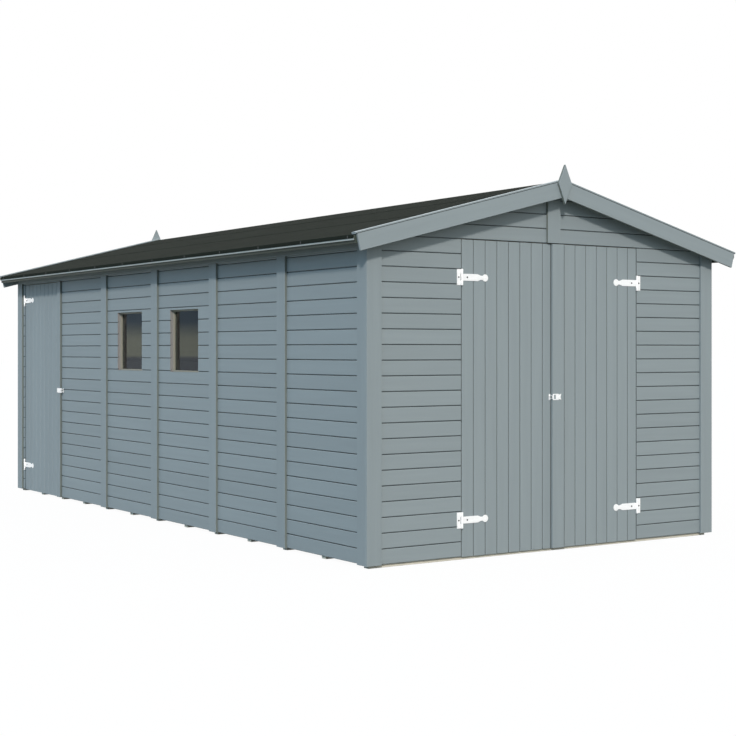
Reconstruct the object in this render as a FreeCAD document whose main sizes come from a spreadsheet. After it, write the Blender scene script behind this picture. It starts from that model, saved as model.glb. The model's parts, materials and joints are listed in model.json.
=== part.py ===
import FreeCAD, Part
import Sketcher
import os
import re

# A timber tool shed: an apex roof on tongued and grooved walls, a double door in the
# front gable, and a single door and two small windows in the left wall.
# X runs across the front, Y from front to back, Z up. The origin is on the ground
# below the middle of the shed. Millimetres and degrees.

doc = FreeCAD.newDocument("ToolShed")

# Driving sizes
sizeTable = {
    # outside of the corner boards
    "Width": 2736, "Length": 5484,
    # wall layers, from the outside in
    "TrimThick": 16, "CladThick": 12, "FrameDeep": 38, "StudWide": 38,
    "WallBottom": 18,
    # ground bearers and floor
    "BearerWide": 45, "BearerTall": 45, "BearerCount": 13,
    "FloorInset": 34, "FloorThick": 12,
    # side wall panels: the first joint from the front face, the last from the back face
    "FirstJoint": 946, "LastJoint": 958, "PanelCount": 6, "PanelGap": 2,
    "StripWide": 100, "CornerWide": 101,
    # small gap between like pieces that lie end to end
    "EndGap": 0.5,
    # windows
    "WindowWide": 427, "WindowTall": 430, "WindowSill": 1068,
    "LiningThick": 12, "BeadDeep": 15, "BeadWide": 10, "GlassThick": 4, "GlassInset": 9.5,
    # doors: the leaves meet a little left of the middle, and the side door is placed
    # from the back face and hung lower than the front doors by SideHeadDrop
    "DoorGap": 5, "LeafThick": 12,
    "FrontDoorway": 1400, "FrontDoorHead": 1868, "MeetingInset": 15.5,
    "SideDoorInset": 144, "SideDoorway": 836, "SideHeadDrop": 88,
    "SideStripWide": 70,
    "LedgeThick": 20, "LedgeTall": 95, "LedgeInset": 12, "BraceWide": 80,
    "StopWide": 25, "StopDeep": 12,
    # roof
    "RoofPitch": 14.4, "EavesRise": 16.8, "FeltThick": 3, "DeckThick": 12,
    "EaveReach": 135, "FeltDrop": 21, "BattenWide": 28, "BattenTall": 16,
    "BattenFace": 10, "BattenHeel": 17,
    "EavesBoardDrop": 80, "TopRailDrop": 30,
    "VergeReach": 86, "BargeThick": 16, "BargeDeep": 95, "BargeReach": 119,
    "CapThick": 12, "CapWide": 40, "CapReach": 144,
    "FinialWide": 105, "FinialTall": 241, "FinialDrop": 142, "FinialWaist": 125,
    "FinialThick": 16,
    "RafterDeep": 63, "PurlinDeep": 58,
    "CollarGap": 2, "CollarTall": 70, "CollarLap": 126, "CollarThick": 16,
    # tee hinges
    "HingeDrop": 137, "HingeLow": 231,
    "PinStand": 7.5, "PinDiameter": 6, "PinFit": 0.05, "HeadDiameter": 10, "HeadThick": 2,
    "KnuckleDiameter": 14, "RunClearance": 0.3, "HingeGauge": 3,
    "PlateWide": 33, "PlateTall": 93, "PlateHoleInset": 20, "PlateHoleGap": 31,
    "StrapLong": 196, "StrapWide": 40, "NeckWide": 24, "NeckLong": 16, "NeckTaper": 22,
    "BallDiameter": 42, "FirstStrapHole": 42, "NextStrapHole": 94, "ScrewHole": 5.5,
    # hasps and their staples
    "HaspStand": 3.5, "HaspGauge": 1.6, "HaspLift": 0.7, "HaspTall": 37,
    "HaspPin": 3, "HaspKnuckle": 5.6, "HaspTail": 18, "TailSquare": 9, "TailNotch": 12.6,
    "HaspWaist": 29.6, "MiddleKnuckle": 10.4,
    "FrontHaspHeight": 935, "FrontFlapLong": 49,
    "SideHaspHeight": 889, "SideHaspInset": 48, "SideFlapLong": 90,
    "SlotWide": 14, "SlotTall": 26, "SlotInset": 16,
    "StapleWire": 4, "StapleTall": 16, "StapleReach": 30,
    "FrontStapleWide": 13, "SideStapleWide": 22,
}
sheet = doc.addObject("Spreadsheet::Sheet", "Sizes")
for row, (alias, value) in enumerate(sizeTable.items(), start=1):
    sheet.set(f"A{row}", alias)
    sheet.set(f"B{row}", str(value))
    sheet.setAlias(f"B{row}", alias)
doc.recompute()


def formula(text):
    """Turn words that name a size into references to the sheet."""
    def named(word):
        return "Sizes." + word[0] if word[0] in sizeTable else word[0]
    return re.sub(r"[A-Za-z]+", named, text)


def worth(text):
    """The value of a formula now."""
    answer = sheet.evalExpression(formula(text))
    return float(getattr(answer, "Value", answer))


# Planes that many pieces share, as formulas. Each X or Y is the distance from the middle.
faceX, faceY = "(Width / 2)", "(Length / 2)"
cladX, cladY = "(Width / 2 - TrimThick)", "(Length / 2 - TrimThick)"
frameX = "(Width / 2 - TrimThick - CladThick)"
frameY = "(Length / 2 - TrimThick - CladThick)"
roomX = "(Width / 2 - TrimThick - CladThick - FrameDeep)"
roomY = "(Length / 2 - TrimThick - CladThick - FrameDeep)"
floorX, floorY = "(Width / 2 - FloorInset)", "(Length / 2 - FloorInset)"
floorTop = "(BearerTall + FloorThick)"
studBottom = "(BearerTall + FloorThick + StudWide)"
eaveX = "(Width / 2 + EaveReach)"
deckX = "(Width / 2 + EaveReach - FeltThick)"
headTop = "(FrontDoorHead + StudWide)"
ridgeTop = "(FrontDoorHead + EavesRise + tan(RoofPitch) * Width / 2)"
eavesBoardBottom = "(FrontDoorHead - EavesBoardDrop)"
topRailBottom = "(FrontDoorHead - TopRailDrop)"
sideDoorHead = "(FrontDoorHead - SideHeadDrop)"
sideDoorFar = "(Length - SideDoorInset)"
sideDoorNear = f"({sideDoorFar} - SideDoorway)"
panelPitch = "((Length - FirstJoint - LastJoint) / (PanelCount - 2))"


def roofTop(reach):
    """Height of the felt's upper face at a distance from the ridge."""
    return f"({ridgeTop} - tan(RoofPitch) * ({reach}))"


def deckTop(reach):
    return f"({ridgeTop} - FeltThick / cos(RoofPitch) - tan(RoofPitch) * ({reach}))"


def deckUnder(reach):
    return f"({ridgeTop} - (FeltThick + DeckThick) / cos(RoofPitch) - tan(RoofPitch) * ({reach}))"


def fromFront(distance):
    """Y of a place given by its distance from the front face."""
    return f"({distance} - Length / 2)"


pieces = []


def bind(item, prop, text):
    item.setExpression(prop, formula(text))


def board(name, x, y, z):
    """A straight board between two X, two Y and two Z planes."""
    item = doc.addObject("Part::Box", name)
    for prop, axis, (low, high) in (("Length", "x", x), ("Width", "y", y), ("Height", "z", z)):
        bind(item, prop, f"({high}) - ({low})")
        bind(item, f"Placement.Base.{axis}", low)
    return item


def outlineSketch(body, name, role, points):
    """A closed outline of straight lines on one of the body's own planes."""
    drawing = body.newObject("Sketcher::SketchObject", name + "_outline")
    plane = next(p for p in body.Origin.OriginFeatures if p.Role == role)
    drawing.AttachmentSupport = [(plane, "")]
    drawing.MapMode = "FlatFace"
    corners = [FreeCAD.Vector(worth(u), worth(v), 0) for u, v in points]
    count = len(corners)
    for i in range(count):
        drawing.addGeometry(Part.LineSegment(corners[i], corners[(i + 1) % count]), False)
    for i in range(count):
        drawing.addConstraint(Sketcher.Constraint("Coincident", i, 2, (i + 1) % count, 1))
    for i, (u, v) in enumerate(points):
        for kind, text, value in (("DistanceX", u, corners[i].x), ("DistanceY", v, corners[i].y)):
            index = drawing.addConstraint(Sketcher.Constraint(kind, -1, 1, i, 1, value))
            drawing.setExpression(f"Constraints[{index}]", formula(text))
    return drawing


def profile(name, points, span, along="Y"):
    """A prism along Y from an outline of X and Z, or along X from one of Y and Z."""
    body = doc.addObject("PartDesign::Body", name)
    drawing = outlineSketch(body, name, {"Y": "XZ_Plane", "X": "YZ_Plane"}[along], points)
    pad = body.newObject("PartDesign::Pad", name + "_pad")
    pad.Profile = drawing
    low, high = span
    bind(pad, "Length", f"({high}) - ({low})")
    # the pad grows towards -Y from one plane and towards +X from the other
    bind(body, f"Placement.Base.{along.lower()}", high if along == "Y" else low)
    return body


def group(label, members):
    """One node made of like pieces that lie apart."""
    if len(members) == 1:
        node = members[0]
    else:
        node = doc.addObject("Part::Compound", label)
        node.Links = members
    node.Label = label
    pieces.append(node)
    return node


def opposite(text):
    return f"(-1 * ({text}))"


def mirrored(span):
    """The same span on the other side of the middle."""
    low, high = span
    return opposite(high), opposite(low)


def across(span, side):
    """A span given for the right or the back, moved to the side asked for."""
    return span if side > 0 else mirrored(span)


def mirroredOutline(points, side):
    if side > 0:
        return points
    return [(opposite(x), z) for x, z in points]


sideNames = {-1: "left", 1: "right"}
endNames = {-1: "front", 1: "back"}

# Bearers and floor

bearers = []
for k in range(int(worth("BearerCount"))):
    front = f"({opposite(floorY)} + {k} / (BearerCount - 1) * (Length - 2 * FloorInset - BearerWide))"
    bearers.append(board(f"bearer_{k + 1}", (opposite(floorX), floorX), (front, f"{front} + BearerWide"),
                         ("0", "BearerTall")))
group("bearers", bearers)
group("floor_deck", [board("floor", (opposite(floorX), floorX), (opposite(floorY), floorY),
                           ("BearerTall", floorTop))])

# Side wall panels. A joint between two panels is a distance from the front face.


def jointPlace(k):
    return f"(FirstJoint + {k} * {panelPitch})"


panelCount = int(worth("PanelCount"))
wallStart, wallEnd = "(TrimThick + CladThick)", "(Length - TrimThick - CladThick)"
joints = [jointPlace(k) for k in range(panelCount - 1)]
panelStarts = [wallStart] + [f"({joint} + PanelGap / 2)" for joint in joints]
panelEnds = [f"({joint} - PanelGap / 2)" for joint in joints] + [wallEnd]
sideCladTop = deckUnder(cladX)
sideSkin = (frameX, cladX)


def sidePanel(name, side, start, end, top=sideCladTop, bottom="WallBottom"):
    return board(name, across(sideSkin, side), (fromFront(start), fromFront(end)), (bottom, top))


group("right_wall_panels", [sidePanel(f"right_panel_{k + 1}", 1, panelStarts[k], panelEnds[k])
                            for k in range(panelCount)])
group("left_wall_panels", [sidePanel("left_panel_1", -1, panelStarts[0], panelEnds[0]),
                           sidePanel("left_panel_2", -1, panelStarts[1], panelEnds[1]),
                           sidePanel("left_panel_5", -1, panelStarts[4], sideDoorNear)])
group("side_door_surround", [
    sidePanel("side_door_far_wall", -1, sideDoorFar, wallEnd),
    sidePanel("side_door_head_wall", -1, f"{sideDoorNear} + EndGap", f"{sideDoorFar} - EndGap",
              bottom=sideDoorHead)])

# Windows: a hole through the boards, lined behind, with the glass between beads.
windowTop = "(WindowSill + WindowTall)"
glassInner = f"({roomX} + GlassInset)"
glassOuter = f"({glassInner} + GlassThick)"
linings, beads, panes, windowStuds, windowRails = [], [], [], [], []
windowBoards = []
for k, place in enumerate(("near", "far"), start=2):
    middle = f"({joints[k]} - {panelPitch} / 2)"
    start, end = f"({middle} - WindowWide / 2)", f"({middle} + WindowWide / 2)"
    whole = sidePanel(f"{place}_window_boards", -1, panelStarts[k], panelEnds[k])
    hole = board(f"{place}_window_hole", mirrored((f"{frameX} - CladThick", f"{cladX} + CladThick")),
                 (fromFront(start), fromFront(end)), ("WindowSill", windowTop))
    panel = doc.addObject("Part::Cut", f"{place}_window_panel")
    panel.Base, panel.Tool = whole, hole
    windowBoards.append(panel)
    liningX = mirrored((roomX, frameX))
    outerStart, outerEnd = f"({start} - LiningThick)", f"({end} + LiningThick)"
    linings += [
        board(f"{place}_lining_sill", liningX, (fromFront(outerStart), fromFront(outerEnd)),
              ("WindowSill - LiningThick", "WindowSill")),
        board(f"{place}_lining_head", liningX, (fromFront(outerStart), fromFront(outerEnd)),
              (windowTop, f"{windowTop} + LiningThick")),
        board(f"{place}_lining_near", liningX, (fromFront(outerStart), fromFront(start)),
              ("WindowSill + EndGap", f"{windowTop} - EndGap")),
        board(f"{place}_lining_far", liningX, (fromFront(end), fromFront(outerEnd)),
              ("WindowSill + EndGap", f"{windowTop} - EndGap"))]
    upright = ("WindowSill + BeadWide + EndGap", f"{windowTop} - BeadWide - EndGap")
    opening = (fromFront(start), fromFront(end))
    layers = {"inner": (roomX, glassInner), "outer": (glassOuter, f"{glassOuter} + BeadDeep")}
    for layer, span in layers.items():
        beadX = mirrored(span)
        name = f"{place}_{layer}_bead"
        beads += [
            board(f"{name}_sill", beadX, opening, ("WindowSill", "WindowSill + BeadWide")),
            board(f"{name}_head", beadX, opening, (f"{windowTop} - BeadWide", windowTop)),
            board(f"{name}_near", beadX, (fromFront(start), fromFront(f"{start} + BeadWide")), upright),
            board(f"{name}_far", beadX, (fromFront(f"{end} - BeadWide"), fromFront(end)), upright)]
    panes.append(board(f"{place}_pane", mirrored((glassInner, glassOuter)), opening, ("WindowSill", windowTop)))
    for edge, low in (("near", f"({outerStart} - StudWide)"), ("far", outerEnd)):
        windowStuds.append(board(f"{place}_window_stud_{edge}", mirrored((roomX, frameX)),
                                 (fromFront(low), fromFront(f"{low} + StudWide")), (studBottom, topRailBottom)))
    railFeet = {"sill": "(WindowSill - LiningThick - StudWide)", "head": f"({windowTop} + LiningThick)"}
    for edge, low in railFeet.items():
        windowRails.append(board(f"{place}_window_{edge}_rail", mirrored((roomX, frameX)),
                                 (fromFront(outerStart), fromFront(outerEnd)), (low, f"{low} + StudWide")))
group("left_window_panels", windowBoards)
group("window_linings", linings)
group("window_beads", beads)
group("window_glass", panes)

# Gable walls

frontDoorHalf = "(FrontDoorway / 2)"
wallFace = {-1: mirrored((frameY, cladY)), 1: (frameY, cladY)}
trimFace = {-1: mirrored((cladY, faceY)), 1: (cladY, faceY)}
gableWallX = {"front": (frontDoorHalf, cladX), "back": ("PanelGap / 2", cladX)}
for end, name in endNames.items():
    group(f"{name}_wall", [board(f"{name}_boards_{hand}", across(gableWallX[name], side), wallFace[end],
                                 ("WallBottom", "FrontDoorHead")) for side, hand in sideNames.items()])
gableOutline = [(opposite(cladX), "FrontDoorHead"), (cladX, "FrontDoorHead"), (cladX, deckUnder(cladX)),
                ("0", deckUnder("0")), (opposite(cladX), deckUnder(cladX))]
for end, name in endNames.items():
    group(f"{name}_gable_panel", [profile(f"{name}_gable_boards", gableOutline, wallFace[end])])

# Trim: strips over the panel joints, corner boards and the boards under the eaves

sideTrim = (cladX, faceX)


def sideStrip(name, side, joint):
    span = (fromFront(f"{joint} - StripWide / 2"), fromFront(f"{joint} + StripWide / 2"))
    return board(name, across(sideTrim, side), span, ("WallBottom", eavesBoardBottom))


# the side door takes the place of the left wall's last joint
for side, name in sideNames.items():
    covered = joints if side > 0 else joints[:-1]
    group(f"{name}_cover_strips", [sideStrip(f"{name}_strip_{k}", side, joint)
                                   for k, joint in enumerate(covered, start=1)])


def kingStrip(name, end, bottom):
    half = "(StripWide / 2)"
    return profile(name, [(opposite(half), bottom), (half, bottom), (half, deckUnder(half)),
                          ("0", deckUnder("0")), (opposite(half), deckUnder(half))], trimFace[end])


group("gable_cover_strips", [kingStrip("king_strip", -1, "FrontDoorHead"),
                             kingStrip("back_strip", 1, "WallBottom")])
cornerInner = f"({faceX} - CornerWide)"
cornerOutline = [(cornerInner, "WallBottom"), (faceX, "WallBottom"), (faceX, deckUnder(faceX)),
                 (cornerInner, deckUnder(cornerInner))]
for end, name in endNames.items():
    group(f"{name}_corner_boards", [profile(f"{name}_corner_{hand}", mirroredOutline(cornerOutline, side),
                                            trimFace[end]) for side, hand in sideNames.items()])
sideCornerY = (f"{faceY} - CornerWide", cladY)
group("side_corner_boards", [board(f"{hand}_corner_{name}", across(sideTrim, side), across(sideCornerY, end),
                                   ("WallBottom", eavesBoardBottom))
                             for side, hand in sideNames.items() for end, name in endNames.items()])
eavesOutline = [(cladX, eavesBoardBottom), (faceX, eavesBoardBottom), (faceX, deckUnder(faceX)),
                (cladX, deckUnder(cladX))]
group("eaves_boards", [profile(f"eaves_board_{name}", mirroredOutline(eavesOutline, side),
                               (opposite(cladY), cladY)) for side, name in sideNames.items()])

# Framing behind the boards

frameSkin = (roomX, frameX)


def sideStud(name, side, start, end):
    return board(name, across(frameSkin, side), (fromFront(start), fromFront(end)), (studBottom, topRailBottom))


sideStuds = list(windowStuds)
for side, name in sideNames.items():
    sideStuds.append(sideStud(f"{name}_stud_front", side, wallStart, f"{wallStart} + StudWide"))
    sideStuds.append(sideStud(f"{name}_stud_back", side, f"{wallEnd} - StudWide", wallEnd))
    covered = joints if side > 0 else joints[:-1]
    for k, joint in enumerate(covered, start=1):
        sideStuds.append(sideStud(f"{name}_stud_{k}", side, f"{joint} - StudWide", f"{joint} + StudWide"))
sideStuds.append(sideStud("side_door_stud_near", -1, f"{sideDoorNear} - StudWide", sideDoorNear))
sideStuds.append(sideStud("side_door_stud_far", -1, sideDoorFar, f"{sideDoorFar} + StudWide"))
group("side_wall_studs", sideStuds)


def sideRail(name, side, start, end, low):
    return board(name, across(frameSkin, side), (fromFront(start), fromFront(end)), (low, f"{low} + StudWide"))


topRailOutline = [(roomX, topRailBottom), (frameX, topRailBottom), (frameX, deckUnder(frameX)),
                  (roomX, deckUnder(roomX))]
sideRails = [
    sideRail("right_bottom_rail", 1, wallStart, wallEnd, floorTop),
    sideRail("left_bottom_rail", -1, wallStart, sideDoorNear, floorTop),
    sideRail("left_bottom_rail_far", -1, sideDoorFar, wallEnd, floorTop),
    sideRail("side_door_head_rail", -1, sideDoorNear, sideDoorFar, sideDoorHead)] + windowRails
for side, name in sideNames.items():
    sideRails.append(profile(f"{name}_top_rail", mirroredOutline(topRailOutline, side),
                             (opposite(frameY), frameY)))
group("side_wall_rails", sideRails)

gableFrame = {-1: mirrored((roomY, frameY)), 1: (roomY, frameY)}
gableStuds = []
for end, name in endNames.items():
    for side, hand in sideNames.items():
        gableStuds.append(board(f"{name}_corner_stud_{hand}", across((f"{roomX} - StudWide", roomX), side),
                                gableFrame[end], (studBottom, "FrontDoorHead")))
        gableStuds.append(board(f"{name}_stud_{hand}",
                                across((frontDoorHalf, f"{frontDoorHalf} + StudWide"), side),
                                gableFrame[end], (studBottom, "FrontDoorHead")))
gableStuds.append(board("back_middle_stud", ("-1 * StudWide", "StudWide"), gableFrame[1],
                        (studBottom, "FrontDoorHead")))
slopeDrop = "(StudWide / cos(RoofPitch))"
ridgeHalf = "(EndGap / 2)"
for end, name in endNames.items():
    gableStuds.append(board(f"{name}_king_stud", ("-1 * StudWide / 2", "StudWide / 2"), gableFrame[end],
                            (headTop, f"{deckUnder('StudWide / 2')} - {slopeDrop}")))
group("gable_wall_studs", gableStuds)


def whereUnder(height, drop="0"):
    """Distance from the ridge at which the deck's underside, less a drop, is at a height."""
    return f"(({deckUnder('0')} - ({drop}) - ({height})) / tan(RoofPitch))"


gableRails = [
    board("front_bottom_rail_left", mirrored((frontDoorHalf, roomX)), gableFrame[-1], (floorTop, studBottom)),
    board("front_bottom_rail_right", (frontDoorHalf, roomX), gableFrame[-1], (floorTop, studBottom)),
    board("back_bottom_rail", (opposite(roomX), roomX), gableFrame[1], (floorTop, studBottom))]
headShoulder = whereUnder(headTop)
headOutline = [(opposite(roomX), "FrontDoorHead"), (roomX, "FrontDoorHead"), (roomX, deckUnder(roomX)),
               (headShoulder, headTop), (opposite(headShoulder), headTop), (opposite(roomX), deckUnder(roomX))]
slopeFoot = f"({headTop} + EndGap)"
slopeOutline = [(ridgeHalf, deckUnder(ridgeHalf)), (whereUnder(slopeFoot), slopeFoot),
                (whereUnder(slopeFoot, slopeDrop), slopeFoot),
                (ridgeHalf, f"{deckUnder(ridgeHalf)} - {slopeDrop}")]
for end, name in endNames.items():
    gableRails.append(profile(f"{name}_head_rail", headOutline, gableFrame[end]))
    for side, hand in sideNames.items():
        gableRails.append(profile(f"{name}_slope_rail_{hand}", mirroredOutline(slopeOutline, side),
                                  gableFrame[end]))
group("gable_wall_rails", gableRails)

# Stops that the closed doors come to, at the inner edge of each doorway

stopY = mirrored((roomY, f"{roomY} + StopDeep"))
stopX = mirrored((roomX, f"{roomX} + StopDeep"))
frontStops = [board(f"front_stop_{name}", across((f"{frontDoorHalf} - StopWide", frontDoorHalf), side), stopY,
                    (floorTop, "FrontDoorHead - StopWide - EndGap")) for side, name in sideNames.items()]
frontStops.append(board("front_stop_head", (opposite(frontDoorHalf), frontDoorHalf), stopY,
                        ("FrontDoorHead - StopWide", "FrontDoorHead")))
sideStopSpan = (floorTop, f"{sideDoorHead} - StopWide - EndGap")
sideStops = [
    board("side_stop_near", stopX, (fromFront(sideDoorNear), fromFront(f"{sideDoorNear} + StopWide")),
          sideStopSpan),
    board("side_stop_far", stopX, (fromFront(f"{sideDoorFar} - StopWide"), fromFront(sideDoorFar)),
          sideStopSpan),
    board("side_stop_head", stopX, (fromFront(sideDoorNear), fromFront(sideDoorFar)),
          (f"{sideDoorHead} - StopWide", sideDoorHead))]
group("door_stops", frontStops + sideStops)

# Roof

deckEnds = (f"{opposite(faceY)} - VergeReach + BargeThick", f"{faceY} + VergeReach - BargeThick")
deckOutline = [("0", deckTop("0")), ("0", deckUnder("0")), (deckX, deckUnder(deckX)), (deckX, deckTop(deckX))]
for side, name in sideNames.items():
    group(f"roof_deck_{name}", [profile(f"roof_boards_{name}", mirroredOutline(deckOutline, side), deckEnds)])
feltFoot = f"({roofTop(eaveX)} - FeltDrop)"
feltOutline = [("0", roofTop("0")), (eaveX, roofTop(eaveX)), (eaveX, feltFoot), (deckX, feltFoot),
               (deckX, deckTop(deckX)), ("0", deckTop("0"))]
feltOutline += [(opposite(x), z) for x, z in feltOutline[4:0:-1]]
group("roof_felt", [profile("felt", feltOutline, deckEnds)])
# the batten's outer face is rebated, so that its heel hangs lower behind it
battenInner, battenStep = f"({deckX} - BattenWide)", f"({deckX} - BattenFace)"
battenFoot = f"({deckUnder(deckX)} - BattenTall)"
battenHeel = f"({battenFoot} - BattenHeel)"
battenOutline = [(battenInner, battenHeel), (battenStep, battenHeel), (battenStep, battenFoot),
                 (deckX, battenFoot), (deckX, deckUnder(deckX)), (battenInner, deckUnder(battenInner))]
group("eaves_battens", [profile(f"eaves_batten_{name}", mirroredOutline(battenOutline, side), deckEnds)
                        for side, name in sideNames.items()])

bargeFace = {-1: (f"{opposite(faceY)} - VergeReach", f"{opposite(faceY)} - VergeReach + BargeThick"),
             1: (f"{faceY} + VergeReach - BargeThick", f"{faceY} + VergeReach")}
bargeTip = "(Width / 2 + BargeReach)"
bargeHeel = f"({bargeTip} - BargeDeep * sin(RoofPitch))"
bargeOutline = [(ridgeHalf, roofTop(ridgeHalf)), (bargeTip, roofTop(bargeTip)),
                (bargeHeel, f"({roofTop(bargeTip)} - BargeDeep * cos(RoofPitch))"),
                (ridgeHalf, f"({roofTop(ridgeHalf)} - BargeDeep / cos(RoofPitch))")]
for end, name in endNames.items():
    group(f"{name}_bargeboards", [profile(f"{name}_bargeboard_{hand}", mirroredOutline(bargeOutline, side),
                                          bargeFace[end]) for side, hand in sideNames.items()])

capTip = "(Width / 2 + CapReach)"
capRise = "(CapThick / cos(RoofPitch))"
capOutline = [(ridgeHalf, roofTop(ridgeHalf)), (capTip, roofTop(capTip)),
              (f"({capTip} + CapThick * sin(RoofPitch))", f"({roofTop(capTip)} + CapThick * cos(RoofPitch))"),
              (ridgeHalf, f"({roofTop(ridgeHalf)} + {capRise})")]
capFace = {-1: (f"{opposite(faceY)} - VergeReach", f"{opposite(faceY)} - VergeReach + CapWide"),
           1: (f"{faceY} + VergeReach - CapWide", f"{faceY} + VergeReach")}
group("verge_caps", [profile(f"verge_cap_{name}_{hand}", mirroredOutline(capOutline, side), capFace[end])
                     for end, name in endNames.items() for side, hand in sideNames.items()])

finialHalf = "(FinialWide / 2)"
finialFoot = f"({ridgeTop} - FinialDrop)"
finialShoulder = f"({finialFoot} + FinialWaist)"
finialOutline = [("0", finialFoot), (finialHalf, finialShoulder), ("0", f"{finialFoot} + FinialTall"),
                 (opposite(finialHalf), finialShoulder)]
finialFace = {-1: (f"{opposite(faceY)} - VergeReach - FinialThick", f"{opposite(faceY)} - VergeReach"),
              1: (f"{faceY} + VergeReach", f"{faceY} + VergeReach + FinialThick")}
group("finials", [profile(f"{name}_finial", finialOutline, finialFace[end]) for end, name in endNames.items()])

# two pairs of rafters stand at the thirds of the length, and the purlins at the
# thirds of each slope
rafterDrop = "(RafterDeep / cos(RoofPitch))"
rafterOutline = [(ridgeHalf, deckUnder(ridgeHalf)), (roomX, deckUnder(roomX)),
                 (roomX, f"({deckUnder(roomX)} - {rafterDrop})"),
                 (ridgeHalf, f"({deckUnder(ridgeHalf)} - {rafterDrop})")]
rafterPlace = f"({roomY} / 3)"
rafterFace = {side: across((f"{rafterPlace} - StudWide / 2", f"{rafterPlace} + StudWide / 2"), side)
              for side in sideNames}
group("roof_rafters", [profile(f"rafter_{name}_{hand}", mirroredOutline(rafterOutline, side), rafterFace[end])
                       for end, name in endNames.items() for side, hand in sideNames.items()])

purlinBays = [(opposite(roomY), rafterFace[-1][0]), (rafterFace[-1][1], rafterFace[1][0]),
              (rafterFace[1][1], roomY)]
purlinPlaces = {"upper": f"({roomX} / 3)", "lower": f"({roomX} * 2 / 3)"}
collarTop = f"({deckUnder(purlinPlaces['upper'] + ' + StudWide / 2')} - PurlinDeep - CollarGap)"
collarHalf = f"({whereUnder(collarTop, rafterDrop)} + CollarLap)"
collarFace = (rafterFace[1][1], f"{rafterFace[1][1]} + CollarThick")
group("roof_collars", [board(f"collar_{name}", (opposite(collarHalf), collarHalf), across(collarFace, end),
                             (f"{collarTop} - CollarTall", collarTop)) for end, name in endNames.items()])
purlins = []
for side, hand in sideNames.items():
    for level, middle in purlinPlaces.items():
        inner, outer = f"({middle} - StudWide / 2)", f"({middle} + StudWide / 2)"
        outline = [(inner, deckUnder(inner)), (outer, deckUnder(outer)),
                   (outer, f"({deckUnder(outer)} - PurlinDeep)"), (inner, f"({deckUnder(inner)} - PurlinDeep)")]
        for bay, span in enumerate(purlinBays, start=1):
            purlins.append(profile(f"purlin_{hand}_{level}_{bay}", mirroredOutline(outline, side), span))
group("roof_purlins", purlins)

# Door leaves. Each hangs in the plane of the boards, with a small gap all round.

leafBottom = "WallBottom"
leafBack = f"({cladY} - LeafThick)"
frontLeaf = {-1: (f"({opposite(frontDoorHalf)} + DoorGap)", "(-1 * MeetingInset - DoorGap / 2)"),
             1: ("(-1 * MeetingInset + DoorGap / 2)", f"({frontDoorHalf} - DoorGap)")}
frontLeafTop = "(FrontDoorHead - DoorGap)"
sideLeaf = (f"({fromFront(sideDoorNear)} + DoorGap)", f"({fromFront(sideDoorFar)} - DoorGap)")
sideLeafTop = f"({sideDoorHead} - DoorGap)"
ledgeY = mirrored((f"({leafBack} - LedgeThick)", leafBack))
sideLeafBack = f"({cladX} - LeafThick)"
ledgeX = mirrored((f"({sideLeafBack} - LedgeThick)", sideLeafBack))
hingeHigh = f"({sideDoorHead} - HingeDrop)"
hingeHeights = {"low": "HingeLow", "high": hingeHigh}
ledgeHeights = {"low": "HingeLow", "middle": f"((HingeLow + {hingeHigh}) / 2)", "high": hingeHigh}


def ledges(name, x, y):
    """The three level boards behind a leaf: one behind each hinge and one half-way between."""
    return [board(f"{name}_ledge_{level}", x, y, (f"{height} - LedgeTall / 2", f"{height} + LedgeTall / 2"))
            for level, height in ledgeHeights.items()]


def bracePoints(start, end, low, high):
    """A brace that rises from one ledge at start to the next at end, cut level at both."""
    bottom, top = f"({low} + LedgeTall / 2 + EndGap)", f"({high} - LedgeTall / 2 - EndGap)"
    return [(start, bottom), (f"({start} + BraceWide)", bottom), (end, top), (f"({end} - BraceWide)", top)]


for side, name in sideNames.items():
    low, high = frontLeaf[side]
    group(f"{name}_leaf_boards", [board(f"{name}_leaf", frontLeaf[side], mirrored((leafBack, cladY)),
                                        (leafBottom, frontLeafTop))])
    start, end = f"({low} + LedgeInset)", f"({high} - LedgeInset)"
    frame = ledges(name, (start, end), ledgeY)
    for span, (lower, upper) in {"low": ("low", "middle"), "high": ("middle", "high")}.items():
        outline = bracePoints(start, end, ledgeHeights[lower], ledgeHeights[upper])
        if side > 0:
            outline = [(f"({start} + {end} - {x})", z) for x, z in outline]
        frame.append(profile(f"{name}_brace_{span}", outline, ledgeY))
    group(f"{name}_leaf_braces", frame)
meetingEdge = frontLeaf[1][0]
group("meeting_strip", [board("meeting_cover", (meetingEdge, f"({meetingEdge} + StripWide)"), trimFace[-1],
                              (leafBottom, frontLeafTop))])
group("side_door_boards", [board("side_leaf", mirrored((sideLeafBack, cladX)), sideLeaf,
                                 (leafBottom, sideLeafTop))])
group("side_door_strip", [board("side_leaf_cover", mirrored(sideTrim),
                                (sideLeaf[0], f"({sideLeaf[0]} + SideStripWide)"), (leafBottom, sideLeafTop))])
sideStart, sideEnd = f"({sideLeaf[0]} + LedgeInset)", f"({sideLeaf[1]} - LedgeInset)"
sideFrame = ledges("side", ledgeX, (sideStart, sideEnd))
for span, (lower, upper) in {"low": ("low", "middle"), "high": ("middle", "high")}.items():
    outline = [(f"({sideStart} + {sideEnd} - {y})", z)
               for y, z in bracePoints(sideStart, sideEnd, ledgeHeights[lower], ledgeHeights[upper])]
    sideFrame.append(profile(f"side_brace_{span}", outline, ledgeX, "X"))
group("side_door_braces", sideFrame)

# Tee hinges. In its own frame a hinge has its pin on Z, its strap along +X and its
# face towards -Y, and what it is screwed to lies PinStand behind the pin.

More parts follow.
